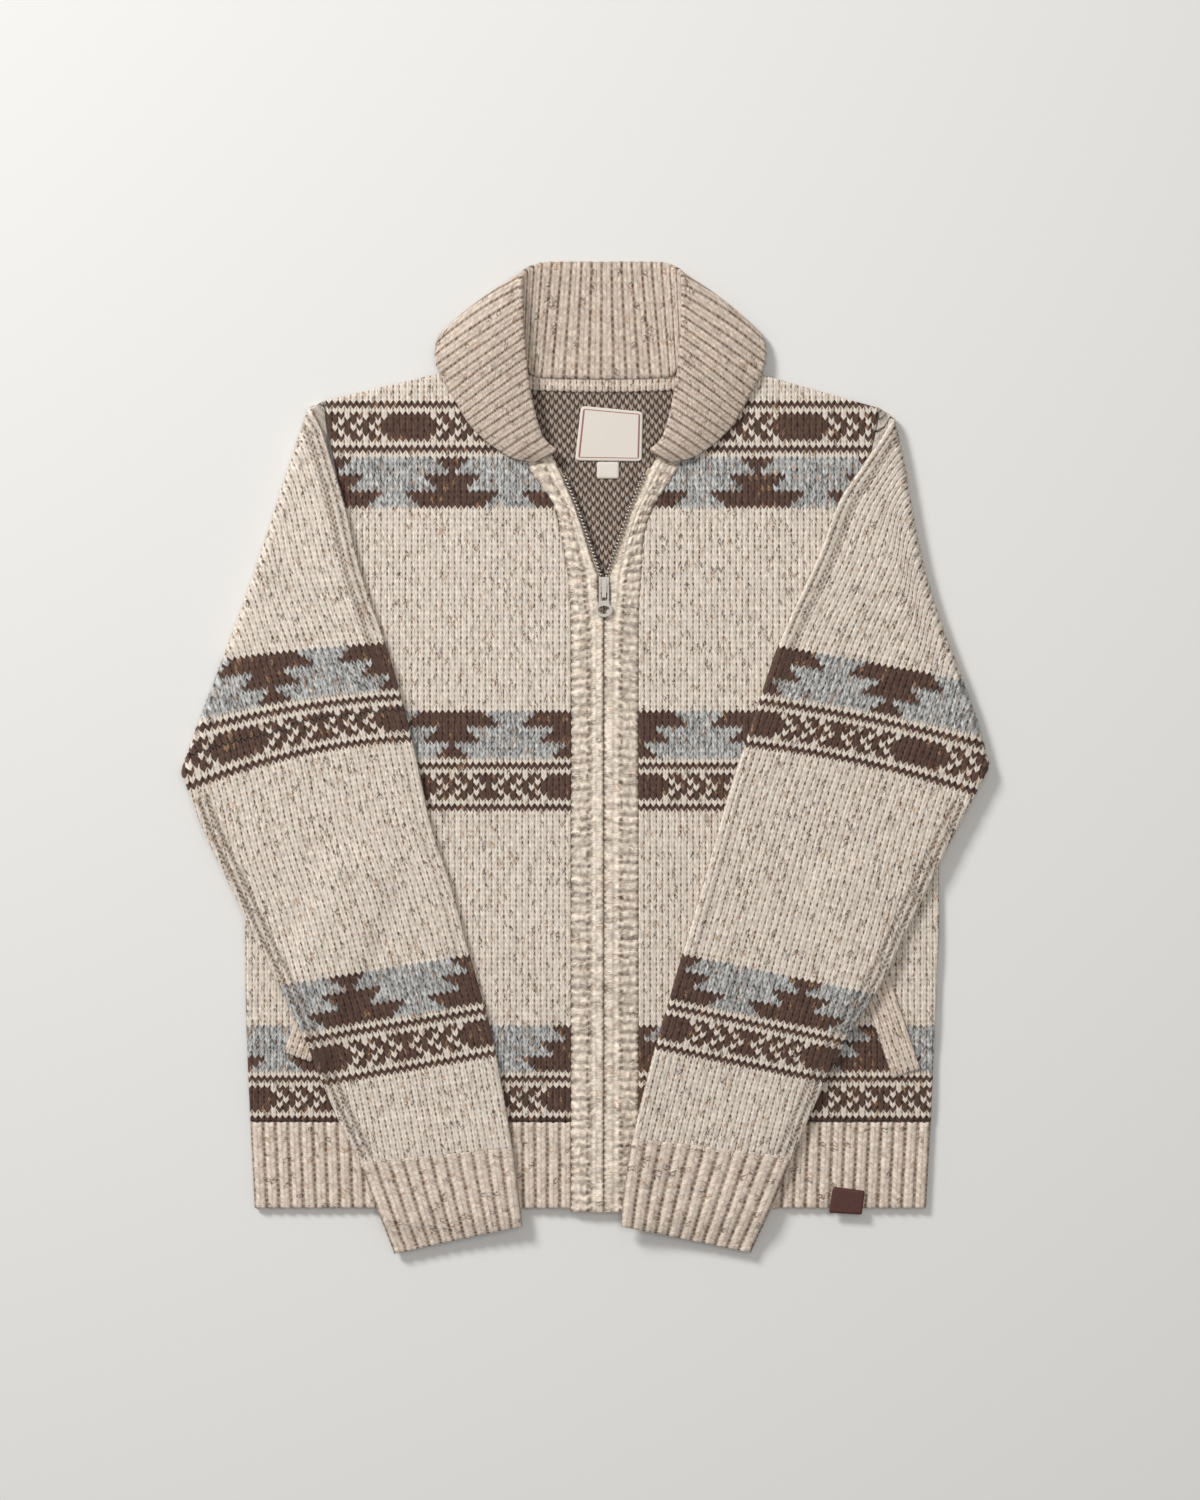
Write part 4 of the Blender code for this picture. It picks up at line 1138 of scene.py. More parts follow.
@dataclass
class Sleeve:
    """A sleeve folded over the front, and its cuff."""

    plan: HalfPlan
    knitter: Knitter
    fold: Fold
    inner: tuple[Point, ...]
    outer: tuple[Point, ...]
    lines: tuple[CourseLine, ...]
    cuff_inner: tuple[Point, ...]
    cuff_outer: tuple[Point, ...]
    wales: int = 44
    head_course: float = 82.0
    edge: float = 3.2

    def edges(self) -> tuple[Array, Array]:
        """Trace the flat sleeve.

        Returns:
            Its upper edge, and its whole outline.
        """
        shares = np.linspace(0.0, 1.0, 120)
        inner = blend_rows(np.array(self.inner), shares)
        outer = blend_rows(np.array(self.outer), shares)
        hole_x, hole_y = self.plan.armhole(np.linspace(0.0, 1.0, 60))
        hole = np.stack(self.fold.unfolded(hole_x * self.plan.side.sign, hole_y), axis=-1)
        inner = np.concatenate((hole[:1], inner))
        return inner, np.concatenate((inner[::-1], hole[1:], outer))

    def course_points(self, v: Array, reach: Array, inner: Array) -> tuple[Array, Array]:
        """Find places on the flat sleeve.

        Args:
            v: Their courses.
            reach: Their distances along the course from the upper edge.
            inner: The upper edge.

        Returns:
            Their places across and up.
        """
        knots = [line.course for line in self.lines]
        y_in = read_curve(v, knots, [line.height for line in self.lines])
        tilt = np.interp(v, knots, [line.tilt for line in self.lines])
        bend = np.interp(v, knots, [line.bend for line in self.lines])
        x_in = np.interp(-y_in, -inner[:, 1], inner[:, 0])
        x = x_in + self.plan.side.sign * reach
        return x, y_in - tilt * reach - bend * reach * reach

    def widths(self, v: Array, inner: Array, outline: Array) -> Array:
        """Measure courses from the upper edge to the outline.

        Args:
            v: The courses.
            inner: The upper edge.
            outline: The whole outline.

        Returns:
            The length of each course.
        """
        steps = np.arange(0.5 * SCAN_STEP, SCAN_REACH, SCAN_STEP)
        grid_v, reach = np.meshgrid(v, steps, indexing="ij")
        within = inside(*self.course_points(grid_v, reach, inner), outline)
        count = np.where(within.all(axis=1), len(steps), np.argmin(within, axis=1))
        low = np.where(count > 0, SCAN_STEP * (count - 0.5), 0.0)
        high = low + SCAN_STEP
        for _ in range(SCAN_HALVINGS):
            middle = 0.5 * (low + high)
            still = inside(*self.course_points(v, middle, inner), outline)
            low, high = np.where(still, middle, low), np.where(still, high, middle)
        return low

    def build_sleeve(self) -> Piece:
        """Knit the visible face stitch by stitch and close it with a plain hidden one.

        Returns:
            The finished sleeve.
        """
        inner, outline = self.edges()
        last = int(self.lines[-1].course)
        grid = KnitGrid(STOCKING, self.wales, last)
        courses = np.linspace(0.0, last, 2 * last + 1)
        table = self.widths(np.maximum(courses, HAND_COURSE), inner, outline)
        from_seam = np.interp(grid.v, courses, table) - grid.u * WALE * SLEEVE_STRETCH
        v = np.clip(lerp(grid.v, grid.v_moved, smooth(from_seam / 4.0)), 0.0, float(last))
        width = np.interp(v, courses, table)
        reach = np.clip(grid.u_moved * WALE * SLEEVE_STRETCH, 0.0, width)
        rim = least(reach, width - reach)
        mark = self.marks(grid, width)
        cuff_seam = 0.8 * smooth(1.0 - v / 1.3)
        height = edge_drop(rim, self.edge) - grid.relief * smooth(rim / 2.0)
        height = height + MARK_DEPTH * mark + cuff_seam
        face = self.fold.place(*self.course_points(v, reach, inner), height)
        plain_v = grid.v[:, :1]
        width = np.interp(plain_v, courses, table)
        reach = width * SLEEVE_COLUMNS[None, :]
        rim = least(reach, width - reach)
        head = 0.25 * (plain_v > self.head_course) * (rim < 0.5)
        height = SLEEVE_DEPTH - edge_drop(rim, self.edge) + head
        under = self.fold.place(*self.course_points(plain_v + 0.0 * reach, reach, inner), height)
        points = flat_tube(face, under)
        points[..., 2] = np.maximum(points[..., 2], LEAST_HEIGHT)
        yarn = SLEEVE_CHART.yarn(*grid.cells)
        plain = np.full((yarn.shape[0], under.shape[1]), int(Yarn.BEIGE))
        u_under = np.broadcast_to((2.0 - SLEEVE_COLUMNS) * self.wales, under.shape[:2])
        u = np.concatenate((grid.u, u_under), axis=1)
        keep = cell_area(points) > 0.1
        keep[:, face.shape[1] - 1] &= plain_v[:-1, 0] < self.head_course
        cloth = Cloth(
            points, np.stack((u, np.broadcast_to(plain_v, u.shape)), axis=-1),
            np.concatenate((yarn, plain), axis=1), keep,
            np.concatenate((mark, np.zeros(under.shape[:2])), axis=1))
        node = "sleeve_" + self.plan.side.tag
        made = self.knitter.sew(Label(node + "_knit", node, "knit", "knit"), cloth, turn_outwards)
        return made

    def marks(self, grid: KnitGrid, width: Array) -> Array:
        """Darken the fashioning marks along the underarm seam and the upper fold: real lines of the
        knit, partly darkened with painted shade in their sunk lines.

        Args:
            grid: The upper face's stitches.
            width: Length of the course at each point.

        Returns:
            Darkness of each point.
        """
        from_fold = grid.u * WALE * SLEEVE_STRETCH
        lines = [(width - from_fold, mark) for mark in UNDERARM_MARKS]
        lines += [(from_fold, mark) for mark in FOLD_MARKS]
        made = np.zeros(grid.u.shape)
        for distance, mark in lines:
            shown = (grid.v > mark.first) & (grid.v < mark.last)
            made = np.maximum(made, mark.dark * bell(distance - mark.place, mark.width) * shown)
        return made * np.where(grid.v % 1.0 == 0.5, 1.0, BETWEEN_DASHES)

    def build_cuff(self) -> Piece:
        """Knit the cuff's ribs round the flat tube, turned in at the open hand end.

        Returns:
            The finished cuff.
        """
        grid = KnitGrid(RIBBING, CUFF_RIBS, CUFF_COURSES)
        lip = len(CUFF_LIP)
        flat = np.zeros((lip, grid.u.shape[1]))
        ends = edge_drop((1.0 - grid.along) * CUFF_LENGTH, 1.6) + 0.3 * smooth(1.0 - grid.along * 30.0)
        ends = np.concatenate((ends, flat))
        relief = np.concatenate((grid.relief - 0.2, flat))
        share = np.concatenate((grid.along, CUFF_LIP[:, :1] + flat))
        across = np.concatenate((grid.across, np.repeat(grid.u[:1] / CUFF_RIBS, lip, axis=0)))
        inset = np.concatenate((np.zeros(len(grid.u)), CUFF_LIP[:, 1]))[:, None]
        rim = least(across, 1.0 - across) * CUFF_WIDTH
        height = edge_drop(rim, self.edge) - relief * smooth(rim / 3.0) + ends
        face = self.cuff_points(share, across, inset, height)
        line = np.concatenate((grid.v[:, 0] / CUFF_COURSES, CUFF_LIP[:, 0]))[:, None]
        share, across = line + 0.0 * CUFF_COLUMNS, CUFF_COLUMNS + 0.0 * line
        rim = least(across, 1.0 - across) * CUFF_WIDTH
        under = self.cuff_points(share, across, inset, SLEEVE_DEPTH - edge_drop(rim, self.edge))
        u_line = np.concatenate((grid.u[0], (2.0 - CUFF_COLUMNS) * CUFF_RIBS))
        v_line = np.concatenate((grid.v[:, 0], CUFF_COURSES + np.arange(1.0, 1.0 + lip)))
        stitch = np.stack(np.meshgrid(u_line, v_line), axis=-1)
        node = "cuff_" + self.plan.side.tag
        made = self.knitter.sew(
            Label(node + "_knit", node, "rib", "rib"),
            Cloth(flat_tube(face, under), stitch, Yarn.RIB), turn_outwards)
        return made

    def cuff_points(self, share: Array, across: Array, inset: Array, height: Array) -> Array:
        """Find folded places on the cuff.

        Args:
            share: Shares of its length.
            across: Shares of its width.
            inset: How far the cloth is set in from the flat tube's outside.
            height: How far down the cloth lies from the tube's upper face.

        Returns:
            The folded places.
        """
        start, end = [
            blend_rows(np.array(edge), share.ravel()).reshape(*share.shape, 2)
            for edge in (self.cuff_inner, self.cuff_outer)]
        across = 0.5 + (across - 0.5) * (1.0 - 2.0 * inset / CUFF_WIDTH)
        plan = start + (end - start) * across[..., None]
        middle = SLEEVE_DEPTH / 2.0
        height = middle + (height - middle) * (1.0 - inset / LIP_DEPTH)
        return self.fold.place(plan[..., 0], plan[..., 1], height)

    def build(self) -> list[Piece]:
        """Build the sleeve and its cuff."""
        return [self.build_sleeve(), self.build_cuff()]


# Upper end, lower end and bow of the line that each sleeve is folded over, and its outline
FOLDS = (((-230.4, 641.6), (-328.8, 360.0), 2.5), ((225.6, 636.0), (296.8, 376.0), 8.5))
LEFT_SLEEVE = {
    "inner": ((-225.6, 624.0), (-216.0, 593.6), (-206.4, 560.8), (-193.6, 508.0), (-170.4, 440.0),
              (-152.0, 372.0), (-139.2, 312.0), (-122.4, 260.0), (-107.2, 204.0), (-90.4, 144.0),
              (-80.8, 96.0), (-72.4, 47.0)),
    "outer": ((-357.0, 397.0), (-353.3, 387.5), (-348.5, 375.0), (-341.3, 356.6), (-331.2, 331.0),
              (-319.2, 300.0), (-299.2, 259.2), (-279.6, 217.6), (-253.6, 167.2), (-235.6, 128.0),
              (-217.6, 83.2), (-194.0, 34.4)),
    "lines": (CourseLine(0, 46.8, 0.10, 0.0), CourseLine(18, 124.0, 0.172, 0.0),
              CourseLine(37, 204.0, 0.156, 0.0), CourseLine(77, 375.2, 0.042, 0.00099),
              CourseLine(96, 453.6, 0.07, 0.0002), CourseLine(136, 624.0, 0.05, 0.0002),
              CourseLine(143, 654.0, 0.05, 0.0002)),
    "cuff_inner": ((-72.6, 50.5), (-68.8, 18.0), (-65.0, -12.6)),
    "cuff_outer": ((-195.4, 39.0), (-182.6, 4.0), (-168.0, -35.4)),
}
RIGHT_SLEEVE = {
    "inner": ((222.4, 618.4), (206.4, 595.2), (187.2, 565.6), (169.6, 520.0), (141.6, 458.4),
              (118.4, 390.4), (98.4, 330.0), (83.2, 276.0), (68.0, 224.0), (50.4, 163.0),
              (36.8, 116.0), (21.8, 55.0)),
    "outer": ((329.0, 392.5), (324.3, 383.5), (317.9, 371.3), (308.2, 353.2), (294.9, 327.9),
              (278.8, 297.6), (259.2, 257.6), (240.8, 220.0), (222.4, 182.4), (196.8, 141.6),
              (171.2, 89.6), (149.2, 39.2)),
    "lines": (CourseLine(0, 55.0, 0.150, 0.0), CourseLine(18, 129.6, 0.20, 0.0),
              CourseLine(37, 204.8, 0.206, 0.0), CourseLine(77, 371.2, 0.10, 0.0006),
              CourseLine(96, 451.2, 0.18, 0.0), CourseLine(136, 618.4, 0.12, 0.0),
              CourseLine(143, 648.0, 0.12, 0.0)),
    "cuff_inner": ((22.3, 58.7), (16.6, 20.0), (13.4, -12.6)),
    "cuff_outer": ((150.6, 43.0), (133.6, 2.0), (117.6, -34.6)),
}


def run_length(points: Array) -> Array:
    """Distance of each point of a line from its start, along the line."""
    steps = np.linalg.norm(np.diff(points, axis=0), axis=1)
    return np.concatenate(([0.0], np.cumsum(steps)))


class CollarRow(NamedTuple):
    """One station of the collar.

    roll, edge and seam are places of the top of the roll, of the free edge and of the neck
    seam. lean is how far the roll is turned over and facing where it looks, in degrees. puff
    is how far the fall bulges.
    """

    roll: tuple[float, float, float]
    edge: tuple[float, float, float]
    seam: tuple[float, float, float]
    lean: float
    facing: float
    puff: float


COLLAR_HALF = (
    CollarRow((-38.4, 607.0, 12.2), (-54.0, 598.5, 10.4), (-44.0, 602.0, 10.2), 0.0, 222.0, 0.5),
    CollarRow((-50.4, 619.5, 13.2), (-76.8, 603.2, 9.8), (-56.0, 614.0, 10.0), 8.0, 215.0, 2.0),
    CollarRow((-59.2, 652.0, 14.6), (-103.2, 623.2, 9.2), (-66.0, 642.0, 9.8), 20.0, 213.0, 3.0),
    CollarRow((-64.0, 688.0, 16.0), (-119.2, 647.2, 9.0), (-72.0, 664.0, 9.6), 38.0, 213.0, 3.5),
    CollarRow((-66.4, 724.0, 16.5), (-135.0, 679.0, 8.6), (-74.0, 682.0, 9.4), 62.0, 205.0, 4.0),
    CollarRow((-66.5, 747.0, 13.5), (-127.0, 703.0, 4.8), (-67.0, 685.0, 9.0), 115.0, 140.0, 3.0),
    CollarRow((-54.0, 755.5, 5.4), (-84.0, 700.0, 1.8), (-59.0, 669.0, 6.6), 168.0, 100.0, 0.0),
    CollarRow((-36.0, 756.4, 3.3), (-44.0, 695.0, 1.55), (-44.0, 665.5, 5.0), 180.0, 90.0, 0.0),
    CollarRow((0.0, 756.4, 3.3), (0.0, 694.0, 1.55), (0.0, 664.8, 5.0), 180.0, 90.0, 0.0),
)


@dataclass
class Collar:
    """Shawl collar: ribs run from the neck seam over the roll to the free edge."""

    knitter: Knitter
    half: tuple[CollarRow, ...] = COLLAR_HALF
    ribs: int = 54
    courses: int = 30
    half_wall: float = 1.5
    half_gap: float = 1.75
    right_scale: float = 0.96
    edge: float = 1.5
    roll_length: float = 430.0

    def table(self) -> Array:
        """Lay out both halves, from one lapel tip to the other.

        Returns:
            One row for each station: roll, edge and seam, then lean, facing and puff.
        """
        left = np.array([(*row.roll, *row.edge, *row.seam, *row[3:]) for row in self.half])
        right = left[:-1][::-1].copy()
        right[:, (0, 3, 6)] *= -self.right_scale
        right[:, 10] = 180.0 - right[:, 10]
        return np.concatenate((left, right))

    def stations(self, table: Array, shares: Array) -> Array:
        """Space the columns of stitches evenly along the roll.

        Args:
            table: The stations.
            shares: Share of the roll's length at each column.

        Returns:
            Share of the table at each column.
        """
        fine = np.linspace(0.0, 1.0, 801)
        length = run_length(blend_rows(table, fine)[:, :3])
        return np.interp(shares * length[-1], length, fine)

    def sections(self, rows: Array) -> Array:
        """Lay the middle line of the cloth across the collar.

        Args:
            rows: Rows of the table, one for each column of stitches.

        Returns:
            Eight points for each column, from the neck seam to the free edge.
        """
        roll, edge, seam = rows[:, 0:3], rows[:, 3:6], rows[:, 6:9]
        lean, facing = np.radians(rows[:, 9])[:, None], np.radians(rows[:, 10])
        away = np.stack((np.cos(facing), np.sin(facing), 0.0 * facing), axis=-1)
        up = np.array((0.0, 0.0, 1.0))
        peak = -away * np.cos(lean) + up * np.sin(lean)
        across = up * np.cos(lean) + away * np.sin(lean)
        below = roll - peak * self.half_gap * 1.4
        near_stand, near_fall = below - across * self.half_gap, below + across * self.half_gap
        puff = across * rows[:, 11:12]
        return np.stack((
            seam, lerp(seam, near_stand, 0.5), near_stand, roll, near_fall,
            lerp(near_fall, edge, 0.36) + puff, lerp(near_fall, edge, 0.72) + puff * 0.8, edge),
            axis=1)

    def middle(self, control: Array, goal: Array) -> tuple[Array, Array, Array]:
        """Spread the courses evenly over the sections.

        Args:
            control: Points of the section at each column of stitches.
            goal: Share of the way from seam to edge of each stitch.

        Returns:
            Place of each stitch, how far through its section's points it lies, and the length
            of each section.
        """
        fine = np.linspace(0.0, 1.0, 141)
        middle = np.zeros((*goal.shape, 3))
        through = np.zeros(goal.shape)
        total = np.zeros(goal.shape[1])
        for k, points in enumerate(control):
            line = blend_rows(points, fine)
            length = run_length(line)
            total[k] = length[-1]
            share = length / total[k]
            through[:, k] = np.interp(goal[:, k], share, fine)
            for axis in range(3):
                middle[:, k, axis] = np.interp(goal[:, k], share, line[:, axis])
        return middle, through, total

    def rib_share(self, lean: Array, through: Array) -> Array:
        """Raise the ribs only where the cloth isn't hidden and doesn't rest flat.

        Args:
            lean: How far the roll is turned over at each column.
            through: How far through its section's points each stitch lies.

        Returns:
            Share of the ribs' relief at each stitch.
        """
        stand = smooth((lean - 30.0) / 50.0)
        fall = smooth((150.0 - lean) / 50.0)
        one = np.ones_like(lean)
        known = np.stack((0.3 * stand, stand, stand, one, fall, fall, fall, 0.8 * fall), axis=0)
        spot = through * (len(known) - 1)
        index = np.minimum(spot.astype(int), len(known) - 2)
        column = np.arange(through.shape[1])[None, :]
        return lerp(known[index, column], known[index + 1, column], spot - index)

    def build(self) -> list[Piece]:
        """Knit the collar, both faces in one.

        Returns:
            The finished collar.
        """
        grid = KnitGrid(RIBBING, self.ribs, self.courses)
        table = self.table()
        u_line = grid.u[0] / self.ribs
        rows = blend_rows(table, self.stations(table, u_line))
        middle, through, length = self.middle(self.sections(rows), grid.along)
        normal = np.cross(np.gradient(middle, axis=0), np.gradient(middle, axis=1))
        normal /= np.linalg.norm(normal, axis=-1, keepdims=True)
        rim = least(grid.along, 1.0 - grid.along) * length[None, :]
        ends = least(u_line, 1.0 - u_line)[None, :] * self.roll_length
        drop = edge_drop(least(rim, ends), self.edge)
        raised = (grid.relief - 0.15) * self.rib_share(rows[:, 9], through)
        outer = middle + normal * (self.half_wall + raised - drop)[..., None]
        inner = middle - normal * (self.half_wall - drop)[..., None]
        points = np.concatenate((outer, inner[::-1], outer[:1]), axis=0)
        points[..., 2] = np.maximum(points[..., 2], LEAST_HEIGHT)
        v = np.concatenate((grid.v, self.courses + grid.v + 0.5, grid.v[:1] - 0.5), axis=0)
        u = np.concatenate((grid.u, grid.u, grid.u[:1]), axis=0)
        # The collar's rib yarn is painted darker as shade from the lapels
        made = self.knitter.sew(
            Label("collar_knit", "collar", "rib", "rib"),
            Cloth(points, np.stack((u, v), axis=-1), Yarn.COLLAR), fill_holes)
        return [made]


# The zip's tape, and the front bands that lie on it
TAPE_LEVEL = 5.0
TAPE_WALL = 1.2
BAND_ON_TAPE = TAPE_LEVEL + TAPE_WALL + GAP
BAND_ON_FRONT_X = 26.0

# Across a front band from its seam: columns, and heights of the cloth under the ridges
BAND_COLUMNS = np.concatenate((
    (0.0, 0.02, 0.05), np.linspace(0.08, 0.62, 21),
    (0.66, 0.7, 0.75, 0.8, 0.85, 0.9, 0.94, 0.97, 0.99, 1.0)))
BAND_SHARES = (0.0, 0.06, 0.56, 0.66, 0.74, 0.93, 1.0)
BAND_HEIGHTS = (2.4, 3.1, 3.1, 2.2, 2.9, 3.0, 2.3)


@dataclass
class Placket:
    """A front band: garter ridges along its seam half, a plain strip along the zip."""

    plan: HalfPlan
    knitter: Knitter
    pitch: float = 7.6
    lines_to_ridge: int = 6
    tuck: PlacketRow = PlacketRow(5.0, 11.0, 5.5, 9.0)
    drift: float = 0.09

    def level(self, share: Array) -> Array:
        """Level of the underside, which rises from the front onto the zip's tape."""
        on_front = FRONT_LEVEL + lift(BAND_ON_FRONT_X, 0.0)
        return lerp(on_front, BAND_ON_TAPE, smooth(share / 0.45))

    def under(self, rows: Array, x: Array, y: Array) -> Array:
        """Find the underside's level.

        Args:
            rows: Rows of the band's outline.
            x: Places across in plan.
            y: Places up in plan.

        Returns:
            Level at each place.
        """
        seam = np.interp(y, rows[:, 1], rows[:, 0])
        width = seam - np.interp(y, rows[:, 1], rows[:, 2])
        return self.level(np.clip((seam - self.plan.side.sign * x) / width, 0.0, 1.0))

    def build(self) -> list[Piece]:
        """Knit the band.

        Returns:
            The finished band.
        """
        last = self.plan.placket[-1]
        rows = np.array((*self.plan.placket, np.add(last, self.tuck)))
        ridges = round((rows[-1, 3] - rows[0, 3]) / self.pitch)
        along = np.linspace(0.0, ridges, ridges * self.lines_to_ridge + 1)
        share, step = np.meshgrid(BAND_COLUMNS, along)
        random = np.random.default_rng(31)
        uneven = random.normal(0.0, self.drift, ridges + 1)
        drift = np.interp(along, np.arange(ridges + 1), uneven)
        bar = step + drift[:, None] + 0.05 * np.sin(share * 17.0 + step)
        crest = np.abs(np.sin(np.pi * bar)) ** 0.7
        y_seam = lerp(rows[0, 1], rows[-1, 1], step / ridges)
        seam_x = read_curve(y_seam, rows[:, 1], rows[:, 0])
        zip_x = np.interp(y_seam, rows[:, 1], rows[:, 2])
        zip_x = zip_x - 0.25 + 1.1 * smooth((zip_x - 4.9) / 4.0)
        zip_y = np.interp(y_seam, rows[:, 1], rows[:, 3])
        x = lerp(seam_x, zip_x, share) + (0.4 + 0.9 * crest) * smooth(1.0 - share / 0.12)
        y = lerp(y_seam, zip_y, share)
        ridged = smooth((0.64 - share) / 0.06)
        loop = np.sin(2.0 * np.pi * (share * 5.2 + 0.5 * np.floor(bar)))
        plump = bell(share - 0.17, 0.15) + bell(share - 0.5, 0.13)
        garter = (2.1 * crest + 0.3 * loop * crest + 0.5 * plump * crest - 1.6) * ridged
        chain = np.sin(2.0 * np.pi * (step * 1.8 + np.abs(share - 0.82) * 5.0))
        strip = 0.22 * chain * (1.0 - ridged) * smooth((1.0 - share) / 0.04)
        ends = edge_drop(np.minimum(share * 25.0, (1.0 - share) * 22.0), 1.4)
        tips = edge_drop(np.minimum(step, ridges - step) * self.pitch, 1.6)
        tucked = 1.8 * smooth((y - last.seam_y - 2.0) / 8.0)
        body = np.interp(share, BAND_SHARES, BAND_HEIGHTS)
        z = self.level(share) + body + garter + strip - ends - tips - tucked
        points = np.stack((self.plan.side.sign * x, y, z), axis=-1)
        stitch = np.stack((share * 2.0, bar * 1.6), axis=-1)
        # Painted shade in the hollows between the garter ridges, carried in the mark channel
        valley = (1.0 - crest) * (0.5 + 0.5 * bell(share - 0.38, 0.2))
        mark = 0.45 * np.clip(valley + 0.3 * (1.0 - plump) * crest * ridged, 0.0, 1.0) * ridged
        node = "placket_" + self.plan.side.tag
        made = self.knitter.sew(
            Label(node + "_knit", node, "band", "rib"),
            Cloth(points, stitch, Yarn.BAND, None, mark),
            partial(close_below, under=partial(self.under, rows)))
        return [made]


@dataclass
class Welt:
    """A knitted pocket welt that lies slanted on the front."""

    plan: HalfPlan
    knitter: Knitter
    wales: int = 5
    course: float = 4.25
    wall: float = 2.2
    relief: float = 0.55
    edge: float = 1.6

    def build(self) -> list[Piece]:
        """Knit the welt, its wales along its length.

        Returns:
            The finished welt.
        """
        low, high = np.array(self.plan.welt_bottom), np.array(self.plan.welt_top)
        run = high - low
        length = float(np.hypot(*run))
        along, right = run / length, np.array((run[1], -run[0])) / length
        grid = KnitGrid(STOCKING, self.wales, round(length / self.course))
        across, reach = grid.across * 2.0 - 1.0, grid.along * length
        x = low[0] + along[0] * reach + right[0] * WELT_HALF * across
        y = low[1] + along[1] * reach + right[1] * WELT_HALF * across
        rim = least((1.0 - np.abs(across)) * WELT_HALF, reach, length - reach)
        top = front_top(x, y) + GAP + self.wall
        z = top + self.relief * grid.relief - edge_drop(rim, self.edge)
        points = np.stack((self.plan.side.sign * x, y, z), axis=-1)
        node = "pocket_welt_" + self.plan.side.tag
        made = self.knitter.sew(
            Label(node + "_knit", node, "knit", "rib"), Cloth(points, grid.stitch, Yarn.RIB),
            partial(close_below, under=lambda px, py: front_top(px, py) + GAP))
        return [made]


class TapeRow(NamedTuple):
    """Half of the zip's tape at a height: its inner edge and its width."""

    y: float
    inner: float
    width: float


TAPE_ROWS = (
    TapeRow(0.0, 0.3, 13.0), TapeRow(496.0, 0.3, 13.0), TapeRow(501.5, 1.9, 12.0),
    TapeRow(508.0, 2.6, 11.5), TapeRow(536.0, 12.2, 8.5), TapeRow(560.0, 20.4, 8.0),
    TapeRow(580.0, 28.6, 8.0), TapeRow(594.0, 35.2, 8.0))


class Tooth(NamedTuple):
    """A tooth: its size across, along and up, and how far in from the tape's edge and up it sits."""

    size: tuple[float, float, float]
    inset: float
    rise: float


